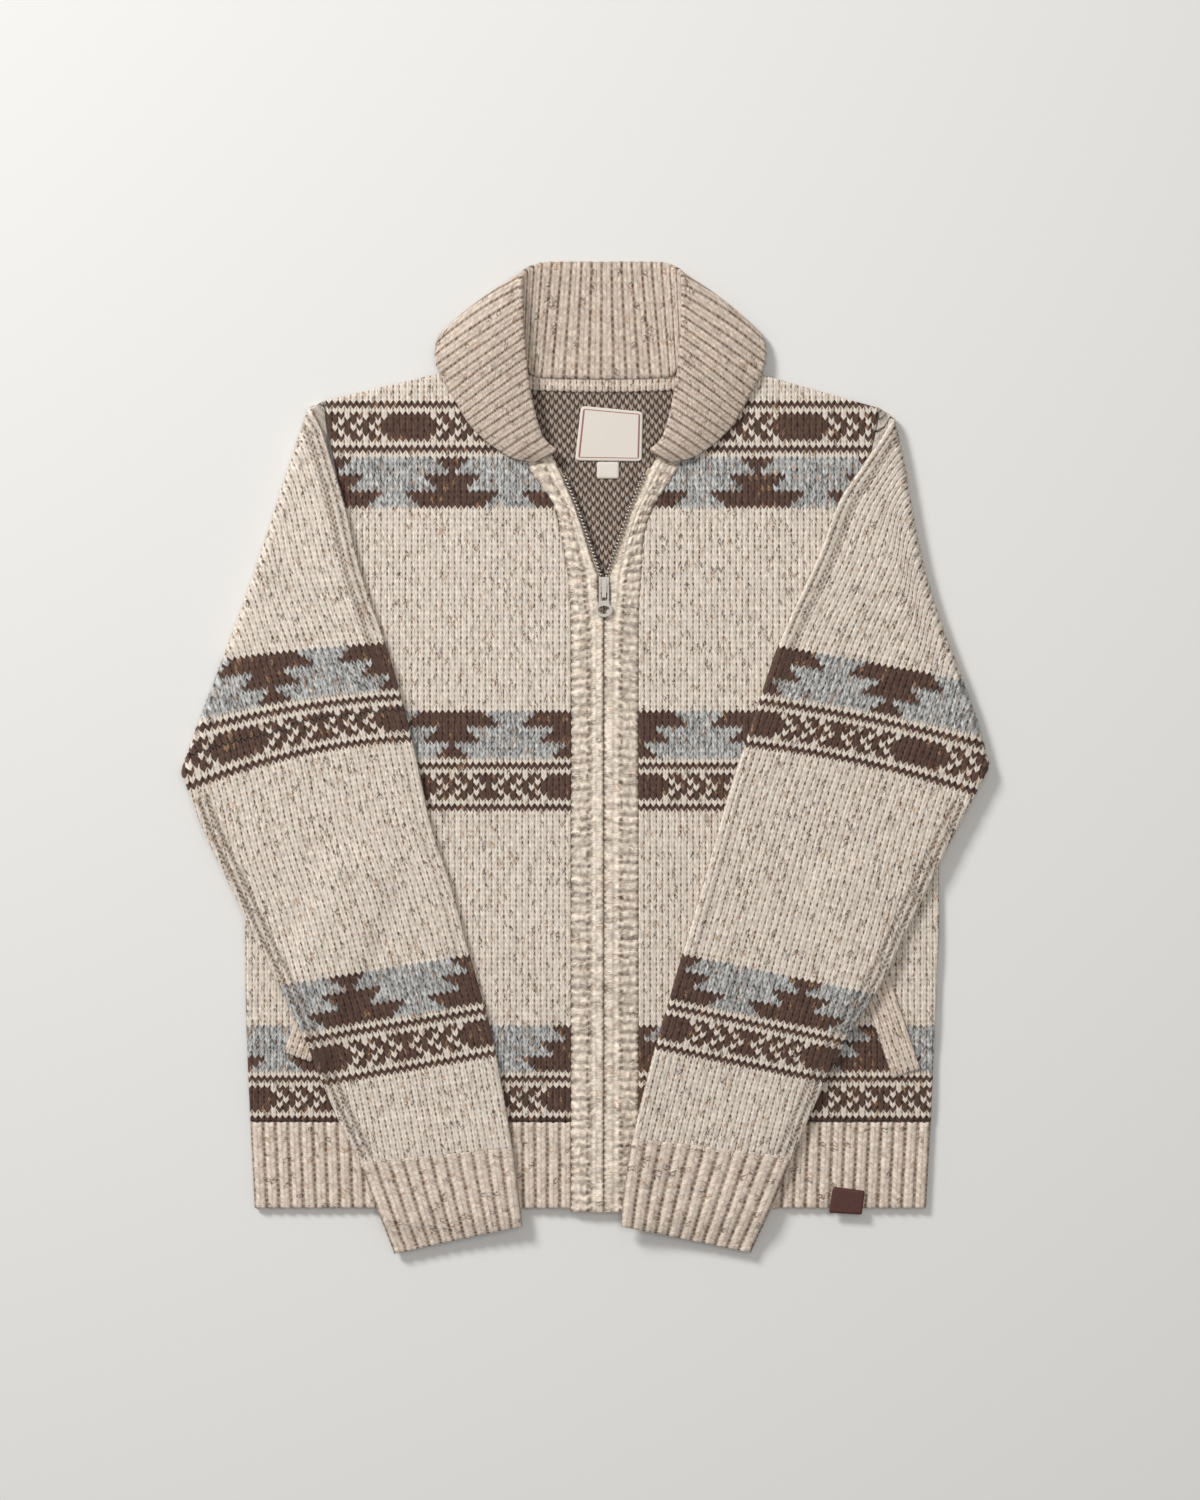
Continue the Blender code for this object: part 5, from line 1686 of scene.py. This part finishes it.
@dataclass
class Zip:
    """The zip: two woven tapes, their metal teeth, and the slider with its tab."""

    knitter: Knitter
    rows: tuple[TapeRow, ...] = TAPE_ROWS
    columns: tuple[float, ...] = (0.0, 0.06, 0.12, 0.2, 0.35, 0.6, 0.85, 0.97, 1.0)
    cord: float = 0.25
    pitch: float = 2.9
    first_tooth: float = 4.0
    teeth_length: float = 586.0
    open_from: float = 507.0
    closed_tooth: Tooth = Tooth((3.0, 1.3, 2.3), 1.0, 0.35)
    open_tooth: Tooth = Tooth((3.4, 2.1, 3.0), -0.3, 1.0)

    def inner_edge(self, y: Array) -> Array:
        """Distance of the tape's inner edge from the zip line."""
        return np.interp(y, [row.y for row in self.rows], [row.inner for row in self.rows])

    def build_tape(self, side: Side) -> Piece:
        """Weave one half of the tape.

        Args:
            side: Which half.

        Returns:
            The finished tape.
        """
        y_line = np.concatenate((np.linspace(0.0, 496.0, 30), np.linspace(499.0, 594.0, 40)))
        share, y = np.meshgrid(self.columns, y_line)
        width = np.interp(y, [row.y for row in self.rows], [row.width for row in self.rows])
        x = self.inner_edge(y) + width * share
        cord = self.cord * bell(share - 0.1, 0.06)
        rim = least(share, 1.0 - share) * self.rows[0].width
        z = TAPE_LEVEL + TAPE_WALL + cord - edge_drop(rim, 0.4)
        points = np.stack((side.sign * x, y, z), axis=-1)
        node = "zip_tape_" + side.tag
        made = self.knitter.sew(
            Label(node + "_woven", node, "tape", "tape"),
            Cloth(points, np.stack((x, y), axis=-1), Yarn.RIB),
            partial(close_below, under=lambda px, py: TAPE_LEVEL + 0.0 * px))
        return made

    def build_teeth(self, side: Side) -> Piece:
        """Cast the teeth along the tape's inner edge.

        Args:
            side: Which half.

        Returns:
            The row of teeth.
        """
        template = bmesh.new()
        bmesh.ops.create_icosphere(template, subdivisions=2, radius=0.5)
        shape = np.array([vertex.co for vertex in template.verts]) * (1.0, 1.25, 1.25)
        shape = np.clip(shape, -0.5, 0.5)
        faces = [[vertex.index for vertex in face.verts] for face in template.faces]
        template.free()
        offset = 0.0 if side is Side.LEFT else 0.5
        count = int(self.teeth_length / self.pitch)
        points, polygons = [], []
        for y in self.first_tooth + (np.arange(count) + offset) * self.pitch:
            here, ahead = self.inner_edge(np.array((y, y + 1.0)))
            turn = -math.atan(ahead - here) * side.sign
            tooth = self.open_tooth if y > self.open_from else self.closed_tooth
            local = shape * np.array(tooth.size)
            x = local[:, 0] * math.cos(turn) - local[:, 1] * math.sin(turn)
            across = local[:, 0] * math.sin(turn) + local[:, 1] * math.cos(turn)
            z = TAPE_LEVEL + TAPE_WALL / 2.0 + tooth.rise + local[:, 2]
            start = len(points) * len(shape)
            points.append(np.stack((side.sign * (here + tooth.inset) + x, y + across, z), axis=-1))
            polygons.extend([[start + k for k in face] for face in faces])
        mesh = bpy.data.meshes.new("teeth")
        places = (np.concatenate(points) + SHIFT) * MM
        mesh.from_pydata(places.tolist(), [], polygons)
        bm = bmesh.new()
        bm.from_mesh(mesh)
        bpy.data.meshes.remove(mesh)
        return self.knitter.finish(Label("zip_teeth_" + side.tag, "", "metal", "metal"), bm)

    def dress_slider(self) -> None:
        """Give the slider and its tab their metal."""
        for node in ("zip_slider", "zip_pull"):
            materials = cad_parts[node].data.materials
            materials.clear()
            materials.append(self.knitter.finishes["metal"])

    def build(self) -> list[Piece]:
        """Build the tapes and the teeth, and dress the slider.

        Returns:
            The tapes and the rows of teeth.
        """
        made = []
        for side in Side:
            made += [self.build_tape(side), self.build_teeth(side)]
        self.dress_slider()
        return made


# Corners of the label, the tab and the patch, and the width of the label's woven line
LINE_WIDTH = 0.9
NECK_LABEL = ((-18.4, 644.0), (31.2, 639.2), (30.4, 599.4), (-23.2, 600.0))
SIZE_TAB = ((-5.6, 599.0), (12.0, 599.0), (12.0, 585.6), (-5.6, 585.6))
HEM_PATCH = ((183.2, 18.4), (208.8, 15.2), (206.4, -4.0), (180.0, -2.4))


@dataclass
class Trim:
    """A small flat piece with rounded corners, given by its corners from the upper left one."""

    label: Label
    corners: tuple[Point, ...]
    knitter: Knitter
    rests_on: str
    thickness: float
    cells: tuple[int, int]
    corner: float = 1.5
    wave: float = 0.0
    on_front: bool = False
    line: float = 0.0

    def build(self) -> list[Piece]:
        """Build the piece.

        Returns:
            The finished piece.
        """
        a, b, c, d = [np.array(corner) for corner in self.corners]
        width, height = float(np.linalg.norm(b - a)), float(np.linalg.norm(d - a))
        share, down = np.meshgrid(*[np.linspace(0.0, 1.0, count + 1) for count in self.cells])
        from_end = least(down, 1.0 - down) * height
        rim = least(least(share, 1.0 - share) * width, from_end)
        pull = edge_drop(from_end, self.corner) / width
        share = 0.5 + (share - 0.5) * (1.0 - 2.0 * pull)
        left = a + (d - a) * down[..., None]
        right = b + (c - b) * down[..., None]
        plan = lerp(left, right, share[..., None])
        x, y = plan[..., 0], plan[..., 1]
        wave = self.wave * np.sin(3.1 * share + 1.0) * np.sin(2.6 * down + 0.4)
        edge = min(0.8, self.thickness * 0.6)
        z = self.base(x, y) + self.thickness + wave - edge_drop(rim, edge)
        middle = 0.25 * (rim[1:, 1:] + rim[:-1, 1:] + rim[1:, :-1] + rim[:-1, :-1])
        line = (middle > self.line) & (middle < self.line + LINE_WIDTH) & (self.line > 0.0)
        stitch = np.stack((share * width, (1.0 - down) * height), axis=-1)
        made = self.knitter.sew(
            self.label,
            Cloth(np.stack((x, y, z), axis=-1), stitch, np.where(line, Yarn.LINE, Yarn.LABEL)),
            partial(close_below, under=self.base))
        return [made]

    def base(self, x: Array, y: Array) -> Array:
        """Level that the piece lies at."""
        return front_top(x, 0.0 * y + 10.0) + 1.4 if self.on_front else on_back(x, y)


@dataclass
class NeckTape:
    """Plain knitted tape over the back neck seam."""

    knitter: Knitter
    ends: Point = (-62.0, 59.0)
    foot: float = 654.6
    bend: float = 1.6
    depth: float = 13.2
    wall: float = 1.5

    def build(self) -> list[Piece]:
        """Knit the tape.

        Returns:
            The finished tape.
        """
        grid = KnitGrid(STOCKING, 24, 3)
        x = lerp(*self.ends, grid.across)
        y = self.foot + self.bend * (np.abs(x) / 56.0) ** 2 + grid.along * self.depth
        rim = least(grid.along, 1.0 - grid.along) * 11.2
        z = on_back(x, y) + self.wall + 0.5 * grid.relief - edge_drop(rim, 1.2)
        made = self.knitter.sew(
            Label("neck_tape_knit", "neck_tape", "knit", "knit"),
            Cloth(np.stack((x, y, z), axis=-1), grid.stitch, Yarn.RIB),
            partial(close_below, under=on_back))
        return [made]


class Shade:
    """Short way to place and join shader nodes in one tree."""

    def __init__(self, tree: bpy.types.NodeTree) -> None:
        """Keep the tree."""
        self.tree = tree

    def feed(self, socket: Socket, value: object) -> None:
        """Join a socket to another one, or set its value.

        Args:
            socket: The socket to feed.
            value: Another socket or a plain value.
        """
        if isinstance(value, Socket):
            self.tree.links.new(value, socket)
        else:
            socket.default_value = value

    def feed_all(self, node: bpy.types.Node, inputs: dict[int | str, object]) -> None:
        """Feed several inputs of a node."""
        for key, value in inputs.items():
            self.feed(node.inputs[key], value)

    def add(self, kind: str, inputs: dict[int | str, object] | None = None,
            **settings: object) -> bpy.types.Node:
        """Add a node.

        Args:
            kind: Kind of node.
            inputs: What its inputs are fed with.
            settings: Its properties.

        Returns:
            The node.
        """
        node = self.tree.nodes.new(kind)
        for key, value in settings.items():
            setattr(node, key, value)
        self.feed_all(node, inputs or {})
        return node

    def math(self, operation: str, *values: object) -> Socket:
        """Result of a Math node."""
        return self.add("ShaderNodeMath", dict(enumerate(values)), operation=operation).outputs[0]

    def times(self, first: object, second: object) -> Socket:
        """Product of two values."""
        return self.math("MULTIPLY", first, second)

    def less(self, first: object, second: object) -> Socket:
        """First value less the second."""
        return self.math("SUBTRACT", first, second)

    def larger(self, first: object, second: object) -> Socket:
        """The larger of two values."""
        return self.math("MAXIMUM", first, second)

    def scaled(self, value: object, by: object, plus: object) -> Socket:
        """Value times one number, plus another."""
        return self.math("MULTIPLY_ADD", value, by, plus)

    def ramp(self, value: object, start: float, end: float) -> Socket:
        """Value eased from 0 at start to 1 at end."""
        inputs = {"Value": value, "From Min": start, "From Max": end}
        return self.add("ShaderNodeMapRange", inputs, interpolation_type="SMOOTHSTEP").outputs[0]

    def noise(self, vector: object, scale: object, detail: float) -> Socket:
        """Value of a Noise texture."""
        inputs = {"Vector": vector, "Scale": scale, "Detail": detail}
        return self.add("ShaderNodeTexNoise", inputs).outputs["Fac"]

    def stretch(self, vector: object, scale: tuple[float, float, float]) -> Socket:
        """Vector scaled along each axis."""
        return self.add("ShaderNodeVectorMath", {0: vector, 1: scale}, operation="MULTIPLY").outputs[0]

    def mix(self, share: object, first: object, second: object,
            blend: str = "MIX") -> Socket:
        """Blend of two colours."""
        inputs = {0: share, 6: first, 7: second}
        return self.add("ShaderNodeMix", inputs, data_type="RGBA", blend_type=blend).outputs[2]

    def toned(self, colour: object, tone: object) -> Socket:
        """Colour made lighter or darker by a tone, where 1 is no change."""
        grey = self.add("ShaderNodeCombineColor", {0: tone, 1: tone, 2: tone})
        return self.mix(1.0, colour, grey.outputs[0], "MULTIPLY")

    def bump(self, height: object, depth: float, strength: float = 1.0) -> Socket:
        """Normal of fine relief of a depth in mm."""
        inputs = {"Height": height, "Distance": depth * MM, "Strength": strength}
        return self.add("ShaderNodeBump", inputs).outputs[0]


def new_group(name: str, inputs: Sequence[tuple[str, str, object]],
              outputs: Sequence[tuple[str, str]]) -> tuple[Shade, bpy.types.Node, bpy.types.Node]:
    """Start a shader node group.

    Args:
        name: Name of the group.
        inputs: Name, kind and default of each input.
        outputs: Name and kind of each output.

    Returns:
        The group's tree, its input node and its output node.
    """
    tree = bpy.data.node_groups.new(name, "ShaderNodeTree")
    for label, kind, default in inputs:
        socket = tree.interface.new_socket(label, in_out="INPUT", socket_type=kind)
        if default is not None:
            socket.default_value = default
    for label, kind in outputs:
        tree.interface.new_socket(label, in_out="OUTPUT", socket_type=kind)
    shade = Shade(tree)
    return shade, shade.add("NodeGroupInput"), shade.add("NodeGroupOutput")


FLOAT = "NodeSocketFloat"
COLOUR = "NodeSocketColor"
VECTOR = "NodeSocketVector"
KNIT_INPUTS = (
    ("Yarn", COLOUR, None), ("Marl", FLOAT, 0.3), ("Stitch", VECTOR, None), ("Mark_and_Shade", FLOAT, 0.0),
    ("Centre", FLOAT, 0.5), ("Half", FLOAT, 0.5), ("Gap", FLOAT, 0.6), ("Flecks", FLOAT, 0.5),
    ("Broken", FLOAT, 0.8))
GRAIN_INPUTS = (
    ("Colour", COLOUR, None), ("Place", VECTOR, None), ("Scale", FLOAT, 900.0),
    ("Uneven", FLOAT, 0.2))
GROUP_OUTPUTS = (("Colour", COLOUR), ("Height", FLOAT))

# Colours that the yarn's own colour is mixed with: real flecks, painted shade in the gaps between
# stitches, and the colour of the marks and of painted shade in hollows
DARK_FLECK = (*from_display(92, 72, 60), 1.0)
TAN_FLECK = (*from_display(178, 140, 106), 1.0)
GAP_SHADE = (*from_display(112, 89, 71), 1.0)
MARK_AND_SHADE_COLOUR = (*from_display(92, 76, 64), 1.0)

# Flecks show on the legs whose chance is above the first value or below the second
DARK_FLECK_ABOVE = 0.93
TAN_FLECK_BELOW = 0.05


def leg_chances(shade: Shade, across: Socket,
                along: Socket) -> Sequence[Socket]:
    """Draw three chances for each leg of each stitch.

    Args:
        shade: Tree to build in.
        across: Wale of each point.
        along: Course of each point.

    Returns:
        The three chances, from 0 to 1.
    """
    number = {0: shade.math("FLOOR", shade.times(across, 2.0)), 1: shade.math("FLOOR", along)}
    leg = shade.add("ShaderNodeCombineXYZ", number).outputs[0]
    chance = shade.add("ShaderNodeTexWhiteNoise", {"Vector": leg}, noise_dimensions="2D")
    return shade.add("ShaderNodeSeparateColor", {0: chance.outputs["Color"]}).outputs


def stitch_gap(shade: Shade, given: dict[str, Socket], reach: Socket,
               along: Socket, chance: Socket) -> Socket:
    """Find the gaps round the stitches, broken up into dashes, which are darkened as painted shade and
    sunk as relief.

    Args:
        shade: Tree to build in.
        given: Inputs of the group.
        reach: Distance from the wale's middle, 1 at its border.
        along: Course of each point.
        chance: Chance of each leg.

    Returns:
        How deep in a gap each point lies, from 0 to 1.
    """
    off_middle = shade.math("ABSOLUTE", shade.less(shade.math("FRACT", along), 0.5))
    row = shade.times(off_middle, 2.0)
    dash = shade.less(1.0, shade.times(shade.ramp(row, 0.25, 0.95), given["Broken"]))
    depth = shade.scaled(shade.less(chance, 0.5), given["Broken"], 0.85)
    border = shade.times(shade.ramp(reach, 0.55, 0.92), shade.times(dash, depth))
    between_legs = shade.times(shade.ramp(reach, 0.26, 0.0), 0.3)
    between_rows = shade.times(shade.ramp(row, 0.7, 1.0), 0.28)
    gap = shade.larger(shade.larger(border, between_legs), between_rows)
    return shade.larger(gap, given["Mark_and_Shade"])


def knit_yarn_group() -> bpy.types.NodeTree:
    """Make the group for knitted woollen yarn: its colour, with painted shade in the gaps between
    stitches, and fine relief, by wale and course.

    Returns:
        The group.
    """
    shade, entry, result = new_group("knit_yarn", KNIT_INPUTS, GROUP_OUTPUTS)
    given = {label: entry.outputs[label] for label, _kind, _default in KNIT_INPUTS}
    stitch = given["Stitch"]
    across, along, _up = shade.add("ShaderNodeSeparateXYZ", {0: stitch}).outputs
    by_leg, by_fleck, by_gap = leg_chances(shade, across, along)
    off_centre = shade.math("ABSOLUTE", shade.less(shade.math("FRACT", across), given["Centre"]))
    reach = shade.math("DIVIDE", off_centre, given["Half"])
    gap = stitch_gap(shade, given, reach, along, by_gap)
    fibre = shade.noise(shade.stretch(stitch, (5.0, 1.6, 1.0)), 3.0, 4.0)
    marl = shade.noise(shade.stretch(stitch, (2.0, 0.9, 1.0)), 1.5, 3.0)
    swing = shade.scaled(shade.less(marl, 0.5), 3.2, shade.scaled(by_leg, 0.7, -0.35))
    tone = shade.scaled(swing, given["Marl"], 1.0)
    tone = shade.larger(shade.times(tone, shade.scaled(fibre, 0.36, 0.82)), 0.12)
    colour = shade.toned(given["Yarn"], tone)
    patchy = shade.ramp(shade.noise(shade.stretch(stitch, (2.6, 1.9, 1.0)), 1.7, 2.0), 0.44, 0.56)
    dark = shade.math("GREATER_THAN", by_fleck, DARK_FLECK_ABOVE)
    tan = shade.math("LESS_THAN", by_fleck, TAN_FLECK_BELOW)
    for chosen, fleck in ((dark, DARK_FLECK), (tan, TAN_FLECK)):
        share = shade.times(shade.times(chosen, patchy), given["Flecks"])
        colour = shade.mix(share, colour, fleck)
    # Painted shade: the gaps between stitches and the marks are darkened toward the gap shade colour
    shadow = shade.mix(1.0, colour, GAP_SHADE, "MULTIPLY")
    colour = shade.mix(shade.times(gap, given["Gap"]), colour, shadow)
    # The mark colour draws the fashioning marks and the painted shade in hollows
    colour = shade.mix(shade.times(given["Mark_and_Shade"], 0.7), colour, MARK_AND_SHADE_COLOUR)
    twist = shade.math("SINE", shade.scaled(along, 16.0, shade.times(reach, 7.0)))
    height = shade.scaled(twist, 0.10, shade.times(fibre, 0.6))
    height = shade.less(height, shade.times(gap, 0.6))
    shade.feed_all(result, {"Colour": colour, "Height": height})
    return shade.tree


def fine_grain_group() -> bpy.types.NodeTree:
    """Make the group for metal, leather and woven cloth: fine uneven tone and relief.

    Returns:
        The group.
    """
    shade, entry, result = new_group("fine_grain", GRAIN_INPUTS, GROUP_OUTPUTS)
    grain = shade.noise(entry.outputs["Place"], entry.outputs["Scale"], 4.0)
    swing = shade.times(shade.less(grain, 0.5), entry.outputs["Uneven"])
    tone = shade.scaled(swing, 2.0, 1.0)
    colour = shade.toned(entry.outputs["Colour"], tone)
    shade.feed_all(result, {"Colour": colour, "Height": grain})
    return shade.tree


def new_material(name: str) -> tuple[Material, Shade, bpy.types.Node]:
    """Start a material.

    Args:
        name: Name of the material.

    Returns:
        The material, its tree, and its surface shader.
    """
    made = bpy.data.materials.new(name)
    made.use_nodes = True
    return made, Shade(made.node_tree), made.node_tree.nodes["Principled BSDF"]


@dataclass(frozen=True)
class KnitFinish:
    """A knitted finish, with the knit wale's place and half width as shares of its repeat."""

    name: str
    centre: float = 0.5
    half: float = 0.5
    # How strongly painted shade darkens the gaps between stitches
    gap: float = 0.92
    flecks: float = 0.85
    broken: float = 0.8
    roughness: float = 0.92
    sheen: float = 0.18
    specular: float = 0.25
    depth: float = 0.6

    def build(self, yarn: bpy.types.NodeTree) -> Material:
        """Make the material.

        Args:
            yarn: The yarn's node group.

        Returns:
            The material.
        """
        made, shade, surface = new_material(self.name)
        colour = shade.add("ShaderNodeAttribute", attribute_name="yarn")
        mark = shade.add("ShaderNodeAttribute", attribute_name="mark")
        stitch = shade.add("ShaderNodeUVMap", uv_map="stitch")
        group = shade.add("ShaderNodeGroup", node_tree=yarn)
        shade.feed_all(group, {
            "Yarn": colour.outputs["Color"], "Marl": colour.outputs["Alpha"],
            "Stitch": stitch.outputs[0], "Mark_and_Shade": mark.outputs["Fac"], "Centre": self.centre,
            "Half": self.half, "Gap": self.gap, "Flecks": self.flecks, "Broken": self.broken})
        shade.feed_all(surface, {
            "Base Color": group.outputs["Colour"], "Roughness": self.roughness,
            "Sheen Weight": self.sheen, "Sheen Roughness": 0.5,
            "Specular IOR Level": self.specular,
            "Normal": shade.bump(group.outputs["Height"], self.depth, 0.8)})
        return made


@dataclass(frozen=True)
class GrainFinish:
    """A finish with fine grain: metal, leather or woven cloth."""

    name: str
    colour: Colour
    roughness: float
    metallic: float = 0.0
    scale: float = 900.0
    uneven: float = 0.2
    depth: float = 0.1
    woven: bool = False

    def build(self, grain: bpy.types.NodeTree) -> Material:
        """Make the material.

        Args:
            grain: The grain's node group.

        Returns:
            The material.
        """
        made, shade, surface = new_material(self.name)
        colour = (*self.colour, 1.0)
        if self.woven:
            colour = shade.add("ShaderNodeAttribute", attribute_name="yarn").outputs["Color"]
        place = shade.add("ShaderNodeTexCoord").outputs["Object"]
        group = shade.add("ShaderNodeGroup", node_tree=grain)
        shade.feed_all(group, {
            "Place": place, "Colour": colour, "Scale": self.scale, "Uneven": self.uneven})
        shade.feed_all(surface, {
            "Base Color": group.outputs["Colour"], "Roughness": self.roughness,
            "Metallic": self.metallic, "Normal": shade.bump(group.outputs["Height"], self.depth)})
        return made


KNIT_FINISHES = {
    "knit": KnitFinish("body_knit"),
    "backing": KnitFinish("backing_knit", gap=0.8, flecks=0.3),
    "rib": KnitFinish("rib_knit", centre=0.45, half=0.5, gap=0.95, flecks=0.7, broken=0.35),
    "band": KnitFinish("garter_band", gap=0.7, flecks=0.5),
}
GRAIN_FINISHES = {
    "tape": GrainFinish("zip_tape", from_display(196, 180, 160), 0.8, scale=1500.0),
    "metal": GrainFinish(
        "silver_metal", (0.43, 0.4, 0.36), 0.4, metallic=1.0, scale=1200.0, uneven=0.16, depth=0.03),
    "leather": GrainFinish(
        "patch_leather", from_display(80, 40, 32), 0.5, scale=700.0, uneven=0.5, depth=0.2),
    "label": GrainFinish(
        "label_weave", from_display(226, 218, 207), 0.75, scale=2500.0, uneven=0.14, woven=True),
}


def build_finishes() -> dict[str, Material]:
    """Make every finish.

    Returns:
        The materials, by the names that the pieces ask for.
    """
    yarn, grain = knit_yarn_group(), fine_grain_group()
    made = {key: finish.build(yarn) for key, finish in KNIT_FINISHES.items()}
    made.update({key: finish.build(grain) for key, finish in GRAIN_FINISHES.items()})
    return made


class Lamp(NamedTuple):
    """A soft square lamp: its name, its place in metres, its size and its power."""

    name: str
    place: tuple[float, float, float]
    power: float
    size: float = 1.0

    def build(self) -> None:
        """Hang the lamp, facing the sweater."""
        data = bpy.data.lights.new(self.name, "AREA")
        data.size = self.size
        data.energy = self.power
        lamp = bpy.data.objects.new(self.name, data)
        lamp.location = self.place
        direction = np.array(self.place)
        yaw = math.atan2(direction[1], direction[0])
        pitch = math.acos(direction[2] / np.linalg.norm(direction))
        lamp.rotation_euler = (0.0, pitch, yaw)
        bpy.context.scene.collection.objects.link(lamp)


@dataclass
class Studio:
    """Floor, soft light and the camera."""

    centre: Point = (-3.2, 368.0)
    frame_height: float = 1200.0
    distance: float = 3.0
    floor_size: float = 40.0
    floor_gap: float = 0.0004
    floor_colour: tuple[float, ...] = (0.80, 0.79, 0.77, 1.0)
    sky: tuple[float, ...] = (1.0, 0.985, 0.96, 1.0)
    sky_strength: float = 0.34
    lamps: tuple[Lamp, ...] = (
        Lamp("key", (-2.3, 2.4, 2.5), 132.0), Lamp("top", (0.25, 0.2, 2.3), 9.0))

    def build_floor(self) -> None:
        """Lay the floor."""
        place = (0.0, 0.0, -self.floor_gap)
        bpy.ops.mesh.primitive_plane_add(size=self.floor_size, location=place)
        floor = bpy.context.object
        floor.name = "floor"
        made, shade, surface = new_material("floor_paper")
        shade.feed_all(surface, {"Base Color": self.floor_colour, "Roughness": 0.9})
        floor.data.materials.append(made)

    def build_light(self) -> None:
        """Light the sweater softly from all round and from the lamps."""
        world = bpy.data.worlds.new("studio")
        bpy.context.scene.world = world
        world.use_nodes = True
        back = world.node_tree.nodes["Background"]
        back.inputs["Color"].default_value = self.sky
        back.inputs["Strength"].default_value = self.sky_strength
        for lamp in self.lamps:
            lamp.build()

    def build_camera(self) -> None:
        """Look straight down at the sweater."""
        scene = bpy.context.scene
        centre = (np.array((*self.centre, 0.0)) + SHIFT) * MM
        data = bpy.data.cameras.new("camera")
        data.sensor_fit = "VERTICAL"
        data.sensor_height = 36.0
        data.lens = data.sensor_height * self.distance / (self.frame_height * MM)
        data.clip_end = 1.5 * self.floor_size
        camera = bpy.data.objects.new("camera", data)
        camera.location = (centre[0], centre[1], self.distance + 0.01)
        scene.collection.objects.link(camera)
        scene.camera = camera
        scene.view_settings.view_transform = "Standard"

    def build(self) -> None:
        """Build the floor, the light and the camera."""
        self.build_floor()
        self.build_light()
        self.build_camera()


def main() -> None:
    """Build the sweater, piece by piece, and its studio."""
    logging.basicConfig(level=logging.INFO, format="%(name)s %(message)s")
    Studio().build()
    knitter = Knitter(build_finishes())
    halves = (LEFT_HALF, RIGHT_HALF)
    parts = [Back(knitter, halves)]
    parts += [Front(plan, knitter, ribs) for plan, ribs in zip(halves, (26, 24))]
    parts += [Placket(plan, knitter) for plan in halves]
    parts += [Welt(plan, knitter) for plan in halves]
    for plan, fold, sleeve in zip(halves, FOLDS, (LEFT_SLEEVE, RIGHT_SLEEVE)):
        parts.append(Sleeve(plan, knitter, Fold(plan, *fold), **sleeve))
    parts += [
        Collar(knitter),
        Zip(knitter),
        NeckTape(knitter),
        Trim(Label("neck_label_woven", "neck_label", "label", "label"), NECK_LABEL, knitter,
             "back_panel", 0.8, (72, 58), corner=3.2, wave=0.25, line=2.4),
        Trim(Label("size_tab_woven", "size_tab", "label", "label"), SIZE_TAB, knitter,
             "back_panel", 0.6, (14, 10), corner=0.8),
        Trim(Label("hem_patch_leather", "hem_patch", "leather", "leather"), HEM_PATCH, knitter,
             "hem_front_r", 1.6, (24, 18), corner=1.2, on_front=True),
    ]
    for part in parts:
        for piece in part.build():
            LOG.info("built %s", piece.name)


if __name__ == "__main__":
    main()
